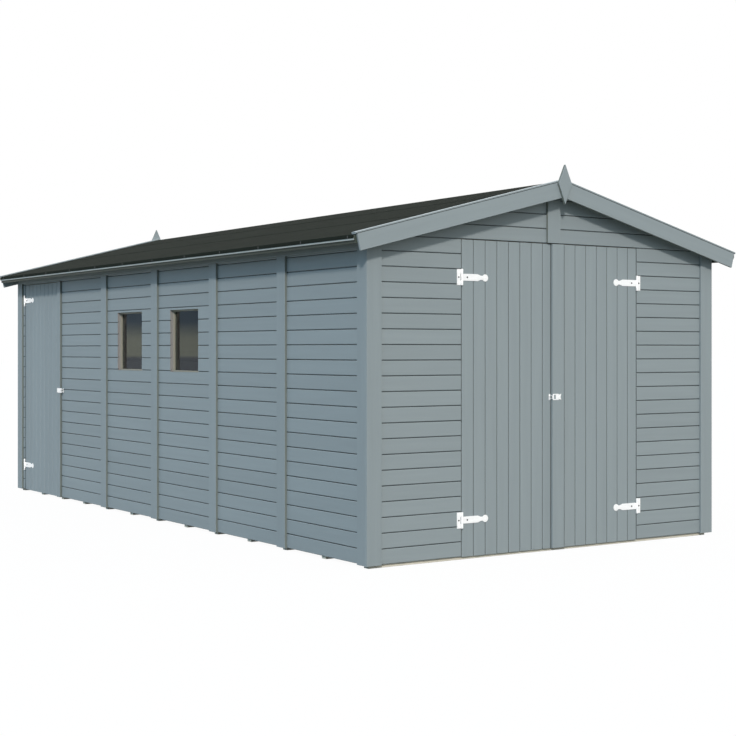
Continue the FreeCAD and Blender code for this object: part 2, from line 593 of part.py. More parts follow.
strapFace = ("PinStand - HingeGauge", "PinStand")
knuckleRadius = "(KnuckleDiameter / 2)"
boreRadius = "(PinDiameter / 2 + RunClearance)"
strapKnuckle = ("-1 * StrapWide / 2", "StrapWide / 2")
plateKnuckles = {"lower": ("-1 * PlateTall / 2", "-1 * StrapWide / 2 - RunClearance"),
                 "upper": ("StrapWide / 2 + RunClearance", "PlateTall / 2")}


def rod(name, radius, span, x="0", y="0"):
    """A round bar along Z."""
    item = doc.addObject("Part::Cylinder", name)
    low, high = span
    bind(item, "Radius", radius)
    bind(item, "Height", f"({high}) - ({low})")
    bind(item, "Placement.Base.x", x)
    bind(item, "Placement.Base.y", y)
    bind(item, "Placement.Base.z", low)
    return item


def screwHole(name, x, z, face=strapFace):
    """A hole along Y through a plate."""
    item = doc.addObject("Part::Cylinder", name)
    item.Placement.Rotation = FreeCAD.Rotation(FreeCAD.Vector(1, 0, 0), -90)
    bind(item, "Radius", "ScrewHole / 2")
    bind(item, "Height", f"({face[1]}) - ({face[0]}) + 2 * HingeGauge")
    bind(item, "Placement.Base.x", x)
    bind(item, "Placement.Base.y", f"{face[0]} - HingeGauge")
    bind(item, "Placement.Base.z", z)
    return item


def fused(name, shapes):
    item = doc.addObject("Part::MultiFuse", name)
    item.Shapes = shapes
    return item


def without(name, base, tools):
    item = doc.addObject("Part::Cut", name)
    item.Base = base
    item.Tool = tools[0] if len(tools) == 1 else fused(name + "_tools", tools)
    return item


def strapFlat(name):
    """The strap's flat: parallel sides, a pinched neck and a round end."""
    body = doc.addObject("PartDesign::Body", name)
    drawing = body.newObject("Sketcher::SketchObject", name + "_outline")
    plane = next(p for p in body.Origin.OriginFeatures if p.Role == "XZ_Plane")
    drawing.AttachmentSupport = [(plane, "")]
    drawing.MapMode = "FlatFace"
    half, neck, ball = worth("StrapWide / 2"), worth("NeckWide / 2"), worth("BallDiameter / 2")
    middle = worth("StrapLong - BallDiameter / 2")
    join = middle - (ball ** 2 - neck ** 2) ** 0.5
    throat = join - worth("NeckLong")
    shoulder = throat - worth("NeckTaper")
    corners = [FreeCAD.Vector(*p, 0) for p in
               [(join, -neck), (throat, -neck), (shoulder, -half), (0, -half),
                (0, half), (shoulder, half), (throat, neck), (join, neck)]]
    for a, b in zip(corners, corners[1:]):
        drawing.addGeometry(Part.LineSegment(a, b), False)
    drawing.addGeometry(Part.Arc(corners[-1], FreeCAD.Vector(middle + ball, 0, 0), corners[0]), False)
    arc = len(corners) - 1
    for i in range(arc - 1):
        drawing.addConstraint(Sketcher.Constraint("Coincident", i, 2, i + 1, 1))
    # an arc runs anticlockwise, from the lower join to the upper one
    drawing.addConstraint(Sketcher.Constraint("Coincident", arc, 1, 0, 1))
    drawing.addConstraint(Sketcher.Constraint("Coincident", arc, 2, arc - 1, 2))
    drawing.addConstraint(Sketcher.Constraint("PointOnObject", arc, 3, -1))
    levels = [(0, 1, "-1 * NeckWide / 2"), (0, 2, "-1 * NeckWide / 2"), (1, 2, "-1 * StrapWide / 2"),
              (2, 2, "-1 * StrapWide / 2"), (3, 2, "StrapWide / 2"), (4, 2, "StrapWide / 2"),
              (5, 2, "NeckWide / 2"), (6, 2, "NeckWide / 2")]
    for line, end, text in levels:
        index = drawing.addConstraint(Sketcher.Constraint("DistanceY", -1, 1, line, end, worth(text)))
        drawing.setExpression(f"Constraints[{index}]", formula(text))
    for line in (2, 3):
        drawing.addConstraint(Sketcher.Constraint("DistanceX", -1, 1, line, 2, 0))
    index = drawing.addConstraint(Sketcher.Constraint("DistanceX", -1, 1, arc, 3, middle))
    drawing.setExpression(f"Constraints[{index}]", formula("StrapLong - BallDiameter / 2"))
    index = drawing.addConstraint(Sketcher.Constraint("Radius", arc, ball))
    drawing.setExpression(f"Constraints[{index}]", formula("BallDiameter / 2"))
    runs = [((1, 2), (0, 2), "NeckTaper"), ((4, 2), (5, 2), "NeckTaper"),
            ((0, 2), (0, 1), "NeckLong"), ((5, 2), (6, 2), "NeckLong")]
    for near, far, text in runs:
        index = drawing.addConstraint(Sketcher.Constraint("DistanceX", *near, *far, worth(text)))
        drawing.setExpression(f"Constraints[{index}]", formula(text))
    pad = body.newObject("PartDesign::Pad", name + "_pad")
    pad.Profile = drawing
    bind(pad, "Length", "HingeGauge")
    bind(body, "Placement.Base.y", "PinStand")
    return body


def teeStrap(name):
    holes = ["FirstStrapHole", "NextStrapHole", "StrapLong - BallDiameter / 2"]
    knuckle = rod(name + "_knuckle", knuckleRadius, strapKnuckle)
    whole = fused(name + "_whole", [strapFlat(name + "_flat"), knuckle])
    tools = [rod(name + "_bore", boreRadius, ("-1 * PlateTall", "PlateTall"))]
    tools += [screwHole(f"{name}_hole_{i}", x, "0") for i, x in enumerate(holes, start=1)]
    return without(name, whole, tools)


def teePlate(name):
    flat = board(name + "_flat", ("-1 * PlateWide", "0"), strapFace, ("-1 * PlateTall / 2", "PlateTall / 2"))
    notch = board(name + "_notch", ("-1 * PinStand - 2 * RunClearance", "PlateWide"),
                  (f"-1 * {knuckleRadius} - HingeGauge", "PinStand + HingeGauge"),
                  ("-1 * StrapWide / 2 - RunClearance", "StrapWide / 2 + RunClearance"))
    knuckles = [rod(f"{name}_knuckle_{end}", knuckleRadius, span) for end, span in plateKnuckles.items()]
    tools = [notch, rod(name + "_bore", "PinDiameter / 2", ("-1 * PlateTall", "PlateTall"))]
    tools += [screwHole(f"{name}_hole_{i}", "-1 * PlateHoleInset", z)
              for i, z in enumerate(("-1 * PlateHoleGap", "0", "PlateHoleGap"), start=1)]
    return without(name, fused(name + "_whole", [flat] + knuckles), tools)


def hingePin(name):
    """A headed pin, turned about Z."""
    body = doc.addObject("PartDesign::Body", name)
    shank, head = "(PinDiameter / 2 - PinFit)", "(HeadDiameter / 2)"
    end = "(PlateTall / 2)"
    rim = f"({end} + HeadThick)"
    outline = [("0", opposite(rim)), (shank, opposite(rim)), (head, opposite(end)), (shank, opposite(end)),
               (shank, end), (head, end), (shank, rim), ("0", rim)]
    drawing = outlineSketch(body, name, "XZ_Plane", outline)
    turned = body.newObject("PartDesign::Revolution", name + "_turned")
    turned.Profile = drawing
    turned.ReferenceAxis = (drawing, ["V_Axis"])
    turned.Angle = 360
    return body


def placed(item, turn, x, y, z):
    """Put a piece made in its own frame where it belongs."""
    item.Placement.Rotation = FreeCAD.Rotation(*turn)
    for axis, text in zip("xyz", (x, y, z)):
        bind(item, f"Placement.Base.{axis}", text)
    return item


alongZ, alongY = FreeCAD.Vector(0, 0, 1), FreeCAD.Vector(0, 1, 0)
asDrawn, turnedOver, ontoLeftWall = (alongZ, 0), (alongY, 180), (alongZ, -90)
pinPlaneY = f"(-1 * ({cladY} + PinStand))"
doorPins = {
    "left": (asDrawn, opposite(f"{frontDoorHalf} - DoorGap / 2"), pinPlaneY),
    "right": (turnedOver, f"({frontDoorHalf} - DoorGap / 2)", pinPlaneY),
    "side": (ontoLeftWall, f"(-1 * ({cladX} + PinStand))", f"({fromFront(sideDoorFar)} - DoorGap / 2)"),
}
strapNodes = {"left": "left_leaf_straps", "right": "right_leaf_straps", "side": "side_door_straps"}
plates, pins = [], []
for door, (turn, x, y) in doorPins.items():
    straps = []
    for level, height in hingeHeights.items():
        straps.append(placed(teeStrap(f"{door}_strap_{level}"), turn, x, y, height))
        plates.append(placed(teePlate(f"{door}_plate_{level}"), turn, x, y, height))
        pins.append(placed(hingePin(f"{door}_pin_{level}"), turn, x, y, height))
    group(strapNodes[door], straps)
group("hinge_plates", plates)
group("hinge_pins", pins)

# Hasps. In its own frame a hasp has its pin on Z, its flap along +X and its face
# towards -Y, and what it is screwed to lies HaspStand behind the pin.

haspHalf = "(HaspTall / 2)"
waistHalf = "(HaspWaist / 2)"
middleKnuckle = "(MiddleKnuckle / 2)"
haspRadius = "(HaspKnuckle / 2)"


def haspTail(name):
    """The fixed leaf, forked like a fish's tail, with its two knuckles and the pin."""
    outline = [("0", opposite(waistHalf)), ("0", waistHalf), ("-1 * TailSquare", waistHalf),
               ("-1 * HaspTail", haspHalf), ("-1 * TailNotch", "0"), ("-1 * HaspTail", opposite(haspHalf)),
               ("-1 * TailSquare", opposite(waistHalf))]
    flat = profile(name + "_flat", outline, ("HaspStand - HaspGauge", "HaspStand"))
    slot = board(name + "_slot", (f"-1 * {haspRadius} - RunClearance", "HaspTail"),
                 ("-1 * HaspTail", "HaspTail"),
                 (f"-1 * {middleKnuckle} - RunClearance", f"{middleKnuckle} + RunClearance"))
    knuckles = [rod(f"{name}_knuckle_{end}", haspRadius, span) for end, span in
                (("lower", (opposite(waistHalf), f"-1 * {middleKnuckle} - RunClearance")),
                 ("upper", (f"{middleKnuckle} + RunClearance", waistHalf)))]
    pin = rod(name + "_pin", "HaspPin / 2", (opposite(waistHalf), waistHalf))
    return fused(name, [without(name + "_leaf", fused(name + "_whole", [flat] + knuckles), [slot]), pin])


def haspFlap(name, length):
    face = ("HaspStand - HaspLift - HaspGauge", "HaspStand - HaspLift")
    flat = board(name + "_flat", ("0", length), face, (opposite(haspHalf), haspHalf))
    knuckle = rod(name + "_knuckle", haspRadius, (opposite(middleKnuckle), middleKnuckle))
    clear = f"({haspRadius} + RunClearance)"
    behind = ("-1 * HaspTail", "HaspTail")
    tools = [
        board(name + "_relief_lower", ("-1 * HaspTail", clear), behind,
              ("-1 * HaspTall", opposite(middleKnuckle))),
        board(name + "_relief_upper", ("-1 * HaspTail", clear), behind, (middleKnuckle, "HaspTall")),
        board(name + "_slot", (f"{length} - SlotInset - SlotWide / 2", f"{length} - SlotInset + SlotWide / 2"),
              behind, ("-1 * SlotTall / 2", "SlotTall / 2")),
        rod(name + "_bore", "HaspPin / 2 + RunClearance", ("-1 * HaspTall", "HaspTall"))]
    return without(name, fused(name + "_whole", [flat, knuckle]), tools)


def staple(name, wide):
    """A small plate with a wire loop, its back on the plane Y = 0."""
    plate = board(name + "_plate", (f"-1 * {wide} / 2", f"{wide} / 2"), ("-1 * HaspGauge", "0"),
                  (opposite(haspHalf), haspHalf))
    legs = []
    for end, z in (("lower", "-1 * StapleTall / 2"), ("upper", "StapleTall / 2")):
        leg = doc.addObject("Part::Cylinder", f"{name}_leg_{end}")
        leg.Placement.Rotation = FreeCAD.Rotation(FreeCAD.Vector(1, 0, 0), 90)
        bind(leg, "Radius", "StapleWire / 2")
        bind(leg, "Height", "StapleReach - StapleWire / 2")
        bind(leg, "Placement.Base.z", z)
        legs.append(leg)
    reach = "(-1 * StapleReach + StapleWire / 2)"
    bridge = rod(name + "_bridge", "StapleWire / 2",
                 ("-1 * StapleTall / 2 - StapleWire / 2", "StapleTall / 2 + StapleWire / 2"), y=reach)
    return fused(name, [plate, bridge] + legs)


# the front flap ends level with its own leaf's edge and the staple's plate with the
# other's; the side flap reaches past its leaf to a staple on the wall
sideHaspPin = f"({fromFront(sideDoorNear)} + SideHaspInset)"
frontHaspPlace = (turnedOver, f"({meetingEdge} + FrontFlapLong)", f"(-1 * ({faceY} + HaspStand))",
                  "FrontHaspHeight")
sideHaspPlace = (ontoLeftWall, f"(-1 * ({faceX} + HaspStand))", sideHaspPin, "SideHaspHeight")
group("front_hasp_tail", [placed(haspTail("front_tail"), *frontHaspPlace)])
group("front_hasp_flap", [placed(haspFlap("front_flap", "FrontFlapLong"), *frontHaspPlace)])
group("side_hasp_tail", [placed(haspTail("side_tail"), *sideHaspPlace)])
group("side_hasp_flap", [placed(haspFlap("side_flap", "SideFlapLong"), *sideHaspPlace)])
group("front_staple", [placed(staple("leaf_staple", "FrontStapleWide"), asDrawn,
                              f"({frontLeaf[-1][1]} - FrontStapleWide / 2)", opposite(cladY),
                              "FrontHaspHeight")])
group("side_staple", [placed(staple("wall_staple", "SideStapleWide"), ontoLeftWall, opposite(cladX),
                             f"({sideHaspPin} - SideFlapLong + SlotInset)", "SideHaspHeight")])

# Build, check and write each node

doc.recompute()
failed = [item.Label for item in doc.Objects if "Invalid" in item.State or "Error" in item.State]
for node in pieces:
    if node.Shape.isNull() or not node.Shape.isValid() or not node.Shape.Solids:
        failed.append(node.Label)
if failed:
    raise RuntimeError("these pieces failed: " + ", ".join(failed))
os.makedirs("parts", exist_ok=True)
for node in pieces:
    node.Shape.exportStep(f"parts/{node.Label}.step")
solids = sum(len(node.Shape.Solids) for node in pieces)
print(len(pieces), "nodes,", solids, "solids")
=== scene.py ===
import bmesh
import bpy
import json
import math
import random
from mathutils import Matrix, Vector


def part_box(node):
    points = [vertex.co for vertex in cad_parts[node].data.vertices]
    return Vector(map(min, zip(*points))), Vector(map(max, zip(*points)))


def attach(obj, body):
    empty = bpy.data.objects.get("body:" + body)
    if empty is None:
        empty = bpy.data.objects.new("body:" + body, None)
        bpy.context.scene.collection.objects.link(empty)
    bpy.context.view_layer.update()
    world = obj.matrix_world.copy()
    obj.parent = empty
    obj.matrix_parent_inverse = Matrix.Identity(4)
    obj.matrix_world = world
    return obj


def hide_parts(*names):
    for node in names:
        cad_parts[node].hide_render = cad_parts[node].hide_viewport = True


# A grey-blue timber tool shed. Lengths are metres, the double doors face -Y,
# and the wall with the windows and the single door faces -X.

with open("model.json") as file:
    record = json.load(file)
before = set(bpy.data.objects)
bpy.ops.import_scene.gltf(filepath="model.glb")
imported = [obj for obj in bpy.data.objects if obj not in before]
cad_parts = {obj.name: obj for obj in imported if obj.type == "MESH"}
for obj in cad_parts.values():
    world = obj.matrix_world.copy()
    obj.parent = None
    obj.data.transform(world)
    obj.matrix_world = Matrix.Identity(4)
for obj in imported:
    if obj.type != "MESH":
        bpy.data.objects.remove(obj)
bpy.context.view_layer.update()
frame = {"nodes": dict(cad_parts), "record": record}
nodes = frame["nodes"]
scene = bpy.context.scene
scene.view_settings.view_transform = "Standard"
print("frame loaded:", len(nodes), "nodes")

hair = 0.0001  # a length too small to matter
cutSlip = 0.0000005  # how near a cut a corner may lie and still be on it
square = 0.9  # a face is square to an axis when its normal has more than this along it


# Small helpers

def linear(red, green, blue, alpha=1.0):
    # a colour as it is seen, 0 to 255, to the shader's own scale
    def channel(value):
        value = value / 255
        return value / 12.92 if value <= 0.04045 else ((value + 0.055) / 1.055) ** 2.4
    return channel(red), channel(green), channel(blue), alpha


def addNode(tree, kind, values=None, **settings):
    node = tree.nodes.new(kind)
    for key, value in settings.items():
        setattr(node, key, value)
    for key, value in (values or {}).items():
        node.inputs[key].default_value = value
    return node


def newObject(name, mesh):
    item = bpy.data.objects.new(name, mesh)
    scene.collection.objects.link(item)
    return item


def meshFrom(work, name):
    mesh = bpy.data.meshes.new(name)
    work.to_mesh(mesh)
    work.free()
    return mesh


# Camera, light and floor

cameraStand = {"x": -5.774, "y": -9.351, "z": 1.2225, "turn": -33.74, "lens": 70.16, "shift": -0.02505}
cameraData = bpy.data.cameras.new("camera")
cameraData.lens = cameraStand["lens"]
cameraData.sensor_width = 36
cameraData.shift_y = cameraStand["shift"]
camera = newObject("camera", cameraData)
camera.location = (cameraStand["x"], cameraStand["y"], cameraStand["z"])
camera.rotation_euler = (math.radians(90), 0, math.radians(cameraStand["turn"]))
scene.camera = camera

sunLight = {"towards": (-0.503, -0.718, 0.481), "strength": 2.22, "colour": (1.0, 0.945, 0.905), "spread": 5.0}
sunData = bpy.data.lights.new("sun", "SUN")
sunData.energy = sunLight["strength"]
sunData.color = sunLight["colour"]
sunData.angle = math.radians(sunLight["spread"])
sun = newObject("sun", sunData)
sun.rotation_euler = Vector(sunLight["towards"]).to_track_quat("Z", "Y").to_euler()


def seenDirectly(tree):
    # 1 for what the camera, a gloss or a pane of glass looks at
    path = addNode(tree, "ShaderNodeLightPath")
    direct = addNode(tree, "ShaderNodeMath", operation="MAXIMUM")
    seen = addNode(tree, "ShaderNodeMath", operation="MAXIMUM")
    link = tree.links.new
    link(path.outputs["Is Camera Ray"], direct.inputs[0])
    link(path.outputs["Is Glossy Ray"], direct.inputs[1])
    link(direct.outputs[0], seen.inputs[0])
    link(path.outputs["Is Transmission Ray"], seen.inputs[1])
    return seen.outputs[0]


def seenInPanes(tree):
    # 1 for what a perfectly smooth surface, a window pane, mirrors
    path = addNode(tree, "ShaderNodeLightPath")
    mirrored = addNode(tree, "ShaderNodeMath", operation="MULTIPLY")
    tree.links.new(path.outputs["Is Reflection Ray"], mirrored.inputs[0])
    tree.links.new(path.outputs["Is Singular Ray"], mirrored.inputs[1])
    return mirrored.outputs[0]


skyLight = {"front": (0.79, 0.82, 0.82, 1), "left": (0.375, 0.68, 0.97, 1), "white": (1, 1, 1, 1)}
# What the panes mirror: dark ground, a pale haze on the horizon, and a darker sky above it.
# Each level is the sine of an elevation.
mirrorSky = {"ground": (0.30, 0.33, 0.38, 1), "haze": (0.72, 0.76, 0.62, 1), "sky": (0.13, 0.20, 0.29, 1),
             "groundTop": -0.006, "hazeLow": -0.004, "hazeHigh": 0.007, "skyLow": 0.019}


def makeWorld():
    world = bpy.data.worlds.new("sky")
    world.use_nodes = True
    tree = world.node_tree
    tree.nodes.clear()
    place = addNode(tree, "ShaderNodeTexCoord")
    parts = addNode(tree, "ShaderNodeSeparateXYZ")
    leftness = addNode(tree, "ShaderNodeMapRange", {"From Min": 0.0, "From Max": -0.9})
    tint = addNode(tree, "ShaderNodeMix", {6: skyLight["front"], 7: skyLight["left"]}, data_type="RGBA")
    light = addNode(tree, "ShaderNodeBackground", {"Strength": 1.0})
    plain = addNode(tree, "ShaderNodeBackground", {"Color": skyLight["white"], "Strength": 1.0})
    mix = addNode(tree, "ShaderNodeMixShader")
    clear = addNode(tree, "ShaderNodeMapRange", {"From Min": mirrorSky["hazeHigh"], "From Max": mirrorSky["skyLow"]})
    low = addNode(tree, "ShaderNodeMapRange", {"From Min": mirrorSky["hazeLow"], "From Max": mirrorSky["groundTop"]})
    upper = addNode(tree, "ShaderNodeMix", {6: mirrorSky["haze"], 7: mirrorSky["sky"]}, data_type="RGBA")
    whole = addNode(tree, "ShaderNodeMix", {7: mirrorSky["ground"]}, data_type="RGBA")
    outside = addNode(tree, "ShaderNodeBackground", {"Strength": 1.0})
    panes = addNode(tree, "ShaderNodeMixShader")
    out = addNode(tree, "ShaderNodeOutputWorld")
    link = tree.links.new
    link(parts.outputs["Z"], clear.inputs["Value"])
    link(parts.outputs["Z"], low.inputs["Value"])
    link(clear.outputs["Result"], upper.inputs["Factor"])
    link(low.outputs["Result"], whole.inputs["Factor"])
    link(upper.outputs[2], whole.inputs[6])
    link(whole.outputs[2], outside.inputs["Color"])
    link(place.outputs["Generated"], parts.inputs[0])
    link(parts.outputs["X"], leftness.inputs["Value"])
    link(leftness.outputs["Result"], tint.inputs["Factor"])
    link(tint.outputs[2], light.inputs["Color"])
    link(seenDirectly(tree), mix.inputs[0])
    link(light.outputs[0], mix.inputs[1])
    link(plain.outputs[0], mix.inputs[2])
    link(seenInPanes(tree), panes.inputs[0])
    link(mix.outputs[0], panes.inputs[1])
    link(outside.outputs[0], panes.inputs[2])
    link(panes.outputs[0], out.inputs[0])
    scene.world = world


makeWorld()

# The floor gives back little light, so that eaves and door heads keep their shade.
floorPlane = {"half": 120.0, "glow": 0.96, "glowStrength": 1.0, "colour": (0.92, 0.92, 0.92, 1),
              "bounce": (0.20, 0.215, 0.20, 1)}


def makeFloor():
    work = bmesh.new()
    bmesh.ops.create_grid(work, x_segments=1, y_segments=1, size=floorPlane["half"])
    floor = newObject("floor", meshFrom(work, "floor"))
    material = bpy.data.materials.new("paleFloor")
    material.use_nodes = True
    tree = material.node_tree
    tree.nodes.clear()
    path = addNode(tree, "ShaderNodeLightPath")
    tint = addNode(tree, "ShaderNodeMix", {6: floorPlane["colour"], 7: floorPlane["bounce"]}, data_type="RGBA")
    dull = addNode(tree, "ShaderNodeBsdfDiffuse")
    glow = addNode(tree, "ShaderNodeEmission", {"Strength": floorPlane["glowStrength"]})
    glowTint = addNode(tree, "ShaderNodeMix", {6: skyLight["white"], 7: mirrorSky["ground"]}, data_type="RGBA")
    share = addNode(tree, "ShaderNodeMath", {1: floorPlane["glow"]}, operation="MULTIPLY")
    mix = addNode(tree, "ShaderNodeMixShader")
    out = addNode(tree, "ShaderNodeOutputMaterial")
    link = tree.links.new
    link(path.outputs["Is Diffuse Ray"], tint.inputs["Factor"])
    link(tint.outputs[2], dull.inputs["Color"])
    link(seenDirectly(tree), share.inputs[0])
    link(share.outputs[0], mix.inputs[0])
    link(dull.outputs[0], mix.inputs[1])
    link(seenInPanes(tree), glowTint.inputs["Factor"])
    link(glowTint.outputs[2], glow.inputs["Color"])
    link(glow.outputs[0], mix.inputs[2])
    link(mix.outputs[0], out.inputs[0])
    floor.data.materials.append(material)


makeFloor()
print("stage ready")


# Materials. Wood reads the "grain" map, where U runs along the board and V across it, in
# metres, and the "tone" attribute, one number from 0 to 1 for each board. Waves are counted
# in a metre along and across the board, and scales in a metre.

paintLook = {"colour": linear(141, 150, 152), "toneSpread": 0.03, "rough": 0.62, "gloss": 0.35,
             "streak": 0.03, "streakWaves": (1.6, 26), "dash": 0.06, "dashWaves": (14, 120),
             "grainDepth": 0.00012, "grainWaves": (7, 520)}
timberLook = {"pale": linear(214, 200, 172), "deep": linear(188, 166, 130), "knot": linear(126, 92, 62),
              "toneLow": 0.93, "toneHigh": 1.06, "rough": 0.75, "gloss": 0.3, "ringWaves": (0.7, 34),
              "ringBend": 5.5, "wanderWaves": (1.1, 9), "knotWaves": (1.9, 7.5), "knotRadius": 0.05,
              "knotEdge": 0.09, "fibreWaves": (9, 240), "fibre": 0.04, "grainDepth": 0.00015,
              "grainWaves": (8, 600)}
bearerLook = dict(timberLook, pale=linear(232, 226, 210), deep=linear(216, 204, 182))
feltLook = {"dark": linear(27, 31, 26), "pale": linear(43, 48, 42), "rough": 0.95, "gloss": 0.06,
            "patch": 0.1, "patchScale": 2.2, "mottle": 0.06, "mottleScale": 22, "gritScale": 900,
            "gritDepth": 0.0006}
zincLook = {"colour": (1.0, 1.0, 0.99, 1), "metal": 0.55, "rough": 0.36, "roughSpread": 0.06,
            "roughScale": 220, "cloud": 0.04, "cloudScale": 60, "pitDepth": 0.00004, "pitScale": 900}
ironLook = dict(zincLook, colour=(0.05, 0.055, 0.055, 1), metal=0.0, rough=0.6)
glassLook = {"colour": (0.20, 0.23, 0.24, 1), "shadow": (0.80, 0.87, 0.86, 1), "index": 1.5}


def grainPlace(tree, waves):
    # the grain map, stretched to so many waves a metre along and across the board
    place = addNode(tree, "ShaderNodeUVMap", uv_map="grain")
    scaled = addNode(tree, "ShaderNodeMapping", {"Scale": (*waves, 1)})
    tree.links.new(place.outputs[0], scaled.inputs["Vector"])
    return scaled.outputs[0]


def noiseOf(tree, vector, detail=3.0, rough=0.55, scale=1.0):
    noise = addNode(tree, "ShaderNodeTexNoise", {"Scale": scale, "Detail": detail, "Roughness": rough})
    tree.links.new(vector, noise.inputs["Vector"])
    return noise.outputs["Fac"]


def ranged(tree, value, low, high, start=0.0, end=1.0):
    spread = addNode(tree, "ShaderNodeMapRange", {"From Min": low, "From Max": high, "To Min": start, "To Max": end})
    tree.links.new(value, spread.inputs["Value"])
    return spread.outputs["Result"]


def varied(tree, value, spread, low=0.3, high=0.7):
    # a factor near 1, from noise whose values lie mostly between low and high
    return ranged(tree, value, low, high, 1 - spread, 1 + spread)


def feed(tree, node, given):
    # gives each input its link or its plain value
    for socket, value in given.items():
        if isinstance(value, bpy.types.NodeSocket):
            tree.links.new(value, node.inputs[socket])
        else:
            node.inputs[socket].default_value = value


def mixed(tree, factor, first, second):
    mix = addNode(tree, "ShaderNodeMix", data_type="RGBA")
    feed(tree, mix, {0: factor, 6: first, 7: second})
    return mix.outputs[2]


def multiplied(tree, first, second):
    product = addNode(tree, "ShaderNodeMath", operation="MULTIPLY")
    feed(tree, product, {0: first, 1: second})
    return product.outputs[0]


def shaded(tree, colour, factor):
    # a colour made lighter or darker by a factor near 1
    scaled = addNode(tree, "ShaderNodeVectorMath", operation="SCALE")
    feed(tree, scaled, {0: colour, "Scale": factor})
    return scaled.outputs[0]


def bumped(tree, height, distance, shader):
    bump = addNode(tree, "ShaderNodeBump", {"Strength": 1.0, "Distance": distance})
    tree.links.new(height, bump.inputs["Height"])
    tree.links.new(bump.outputs[0], shader.inputs["Normal"])


def newMaterial(name):
    material = bpy.data.materials.new(name)
    material.use_nodes = True
    tree = material.node_tree
    return material, tree, tree.nodes["Principled BSDF"]


def paintMaterial(name, look):
    material, tree, shader = newMaterial(name)
    tone = addNode(tree, "ShaderNodeAttribute", attribute_name="tone").outputs["Fac"]
    boardShade = varied(tree, tone, look["toneSpread"], 0, 1)
    streaks = noiseOf(tree, grainPlace(tree, look["streakWaves"]), detail=4)
    dashes = noiseOf(tree, grainPlace(tree, look["dashWaves"]), detail=2)
    dashShade = ranged(tree, dashes, 0.68, 0.78, 1, 1 - look["dash"])
    shade = multiplied(tree, multiplied(tree, boardShade, varied(tree, streaks, look["streak"])), dashShade)
    fine = noiseOf(tree, grainPlace(tree, look["grainWaves"]), detail=4, rough=0.6)
    feed(tree, shader, {"Base Color": shaded(tree, look["colour"][:3], shade), "Roughness": look["rough"],
                        "Specular IOR Level": look["gloss"]})
    bumped(tree, fine, look["grainDepth"], shader)
    return material


def timberMaterial(name, look):
    material, tree, shader = newMaterial(name)
    tone = addNode(tree, "ShaderNodeAttribute", attribute_name="tone").outputs["Fac"]
    wander = noiseOf(tree, grainPlace(tree, look["wanderWaves"]), detail=2)
    rings = addNode(tree, "ShaderNodeTexWave", {"Scale": 1.0, "Distortion": look["ringBend"], "Detail": 2.0,
                                                "Detail Scale": 1.2}, bands_direction="Y")
    tree.links.new(grainPlace(tree, look["ringWaves"]), rings.inputs["Vector"])
    latewood = ranged(tree, rings.outputs["Fac"], 0.35, 1.0)
    grainTone = multiplied(tree, latewood, ranged(tree, wander, 0.3, 0.7, 0.35, 0.95))
    colour = mixed(tree, grainTone, look["pale"], look["deep"])
    knotCells = addNode(tree, "ShaderNodeTexVoronoi", {"Scale": 1.0, "Randomness": 1.0})
    tree.links.new(grainPlace(tree, look["knotWaves"]), knotCells.inputs["Vector"])
    knots = ranged(tree, knotCells.outputs["Distance"], look["knotRadius"], look["knotEdge"], 1, 0)
    colour = mixed(tree, knots, colour, look["knot"])
    fibres = noiseOf(tree, grainPlace(tree, look["fibreWaves"]), detail=3)
    shade = multiplied(tree, ranged(tree, tone, 0, 1, look["toneLow"], look["toneHigh"]),
                       varied(tree, fibres, look["fibre"]))
    fine = noiseOf(tree, grainPlace(tree, look["grainWaves"]), detail=4, rough=0.6)
    feed(tree, shader, {"Base Color": shaded(tree, colour, shade), "Roughness": look["rough"],
                        "Specular IOR Level": look["gloss"]})
    bumped(tree, fine, look["grainDepth"], shader)
    return material


def feltMaterial(name, look):
    material, tree, shader = newMaterial(name)
    place = addNode(tree, "ShaderNodeTexCoord").outputs["Object"]
    grit = noiseOf(tree, place, detail=2, rough=0.7, scale=look["gritScale"])
    patches = noiseOf(tree, place, detail=4, rough=0.6, scale=look["patchScale"])
    mottles = noiseOf(tree, place, detail=3, rough=0.6, scale=look["mottleScale"])
    colour = mixed(tree, ranged(tree, grit, 0.35, 0.7), look["dark"], look["pale"])
    shade = multiplied(tree, varied(tree, patches, look["patch"]), varied(tree, mottles, look["mottle"]))
    feed(tree, shader, {"Base Color": shaded(tree, colour, shade), "Roughness": look["rough"],
                        "Specular IOR Level": look["gloss"]})
    bumped(tree, grit, look["gritDepth"], shader)
    return material


def zincMaterial(name, look):
    material, tree, shader = newMaterial(name)
    place = addNode(tree, "ShaderNodeTexCoord").outputs["Object"]
    cloud = noiseOf(tree, place, detail=3, scale=look["cloudScale"])
    shade = ranged(tree, cloud, 0.3, 0.7, 1 - look["cloud"], 1.0)
    wear = noiseOf(tree, place, detail=3, scale=look["roughScale"])
    roughness = ranged(tree, wear, 0.3, 0.7, look["rough"] - look["roughSpread"], look["rough"] + look["roughSpread"])
    pits = noiseOf(tree, place, detail=2, scale=look["pitScale"])
    feed(tree, shader, {"Base Color": shaded(tree, look["colour"][:3], shade), "Roughness": roughness,
                        "Metallic": look["metal"]})
    bumped(tree, pits, look["pitDepth"], shader)
    return material


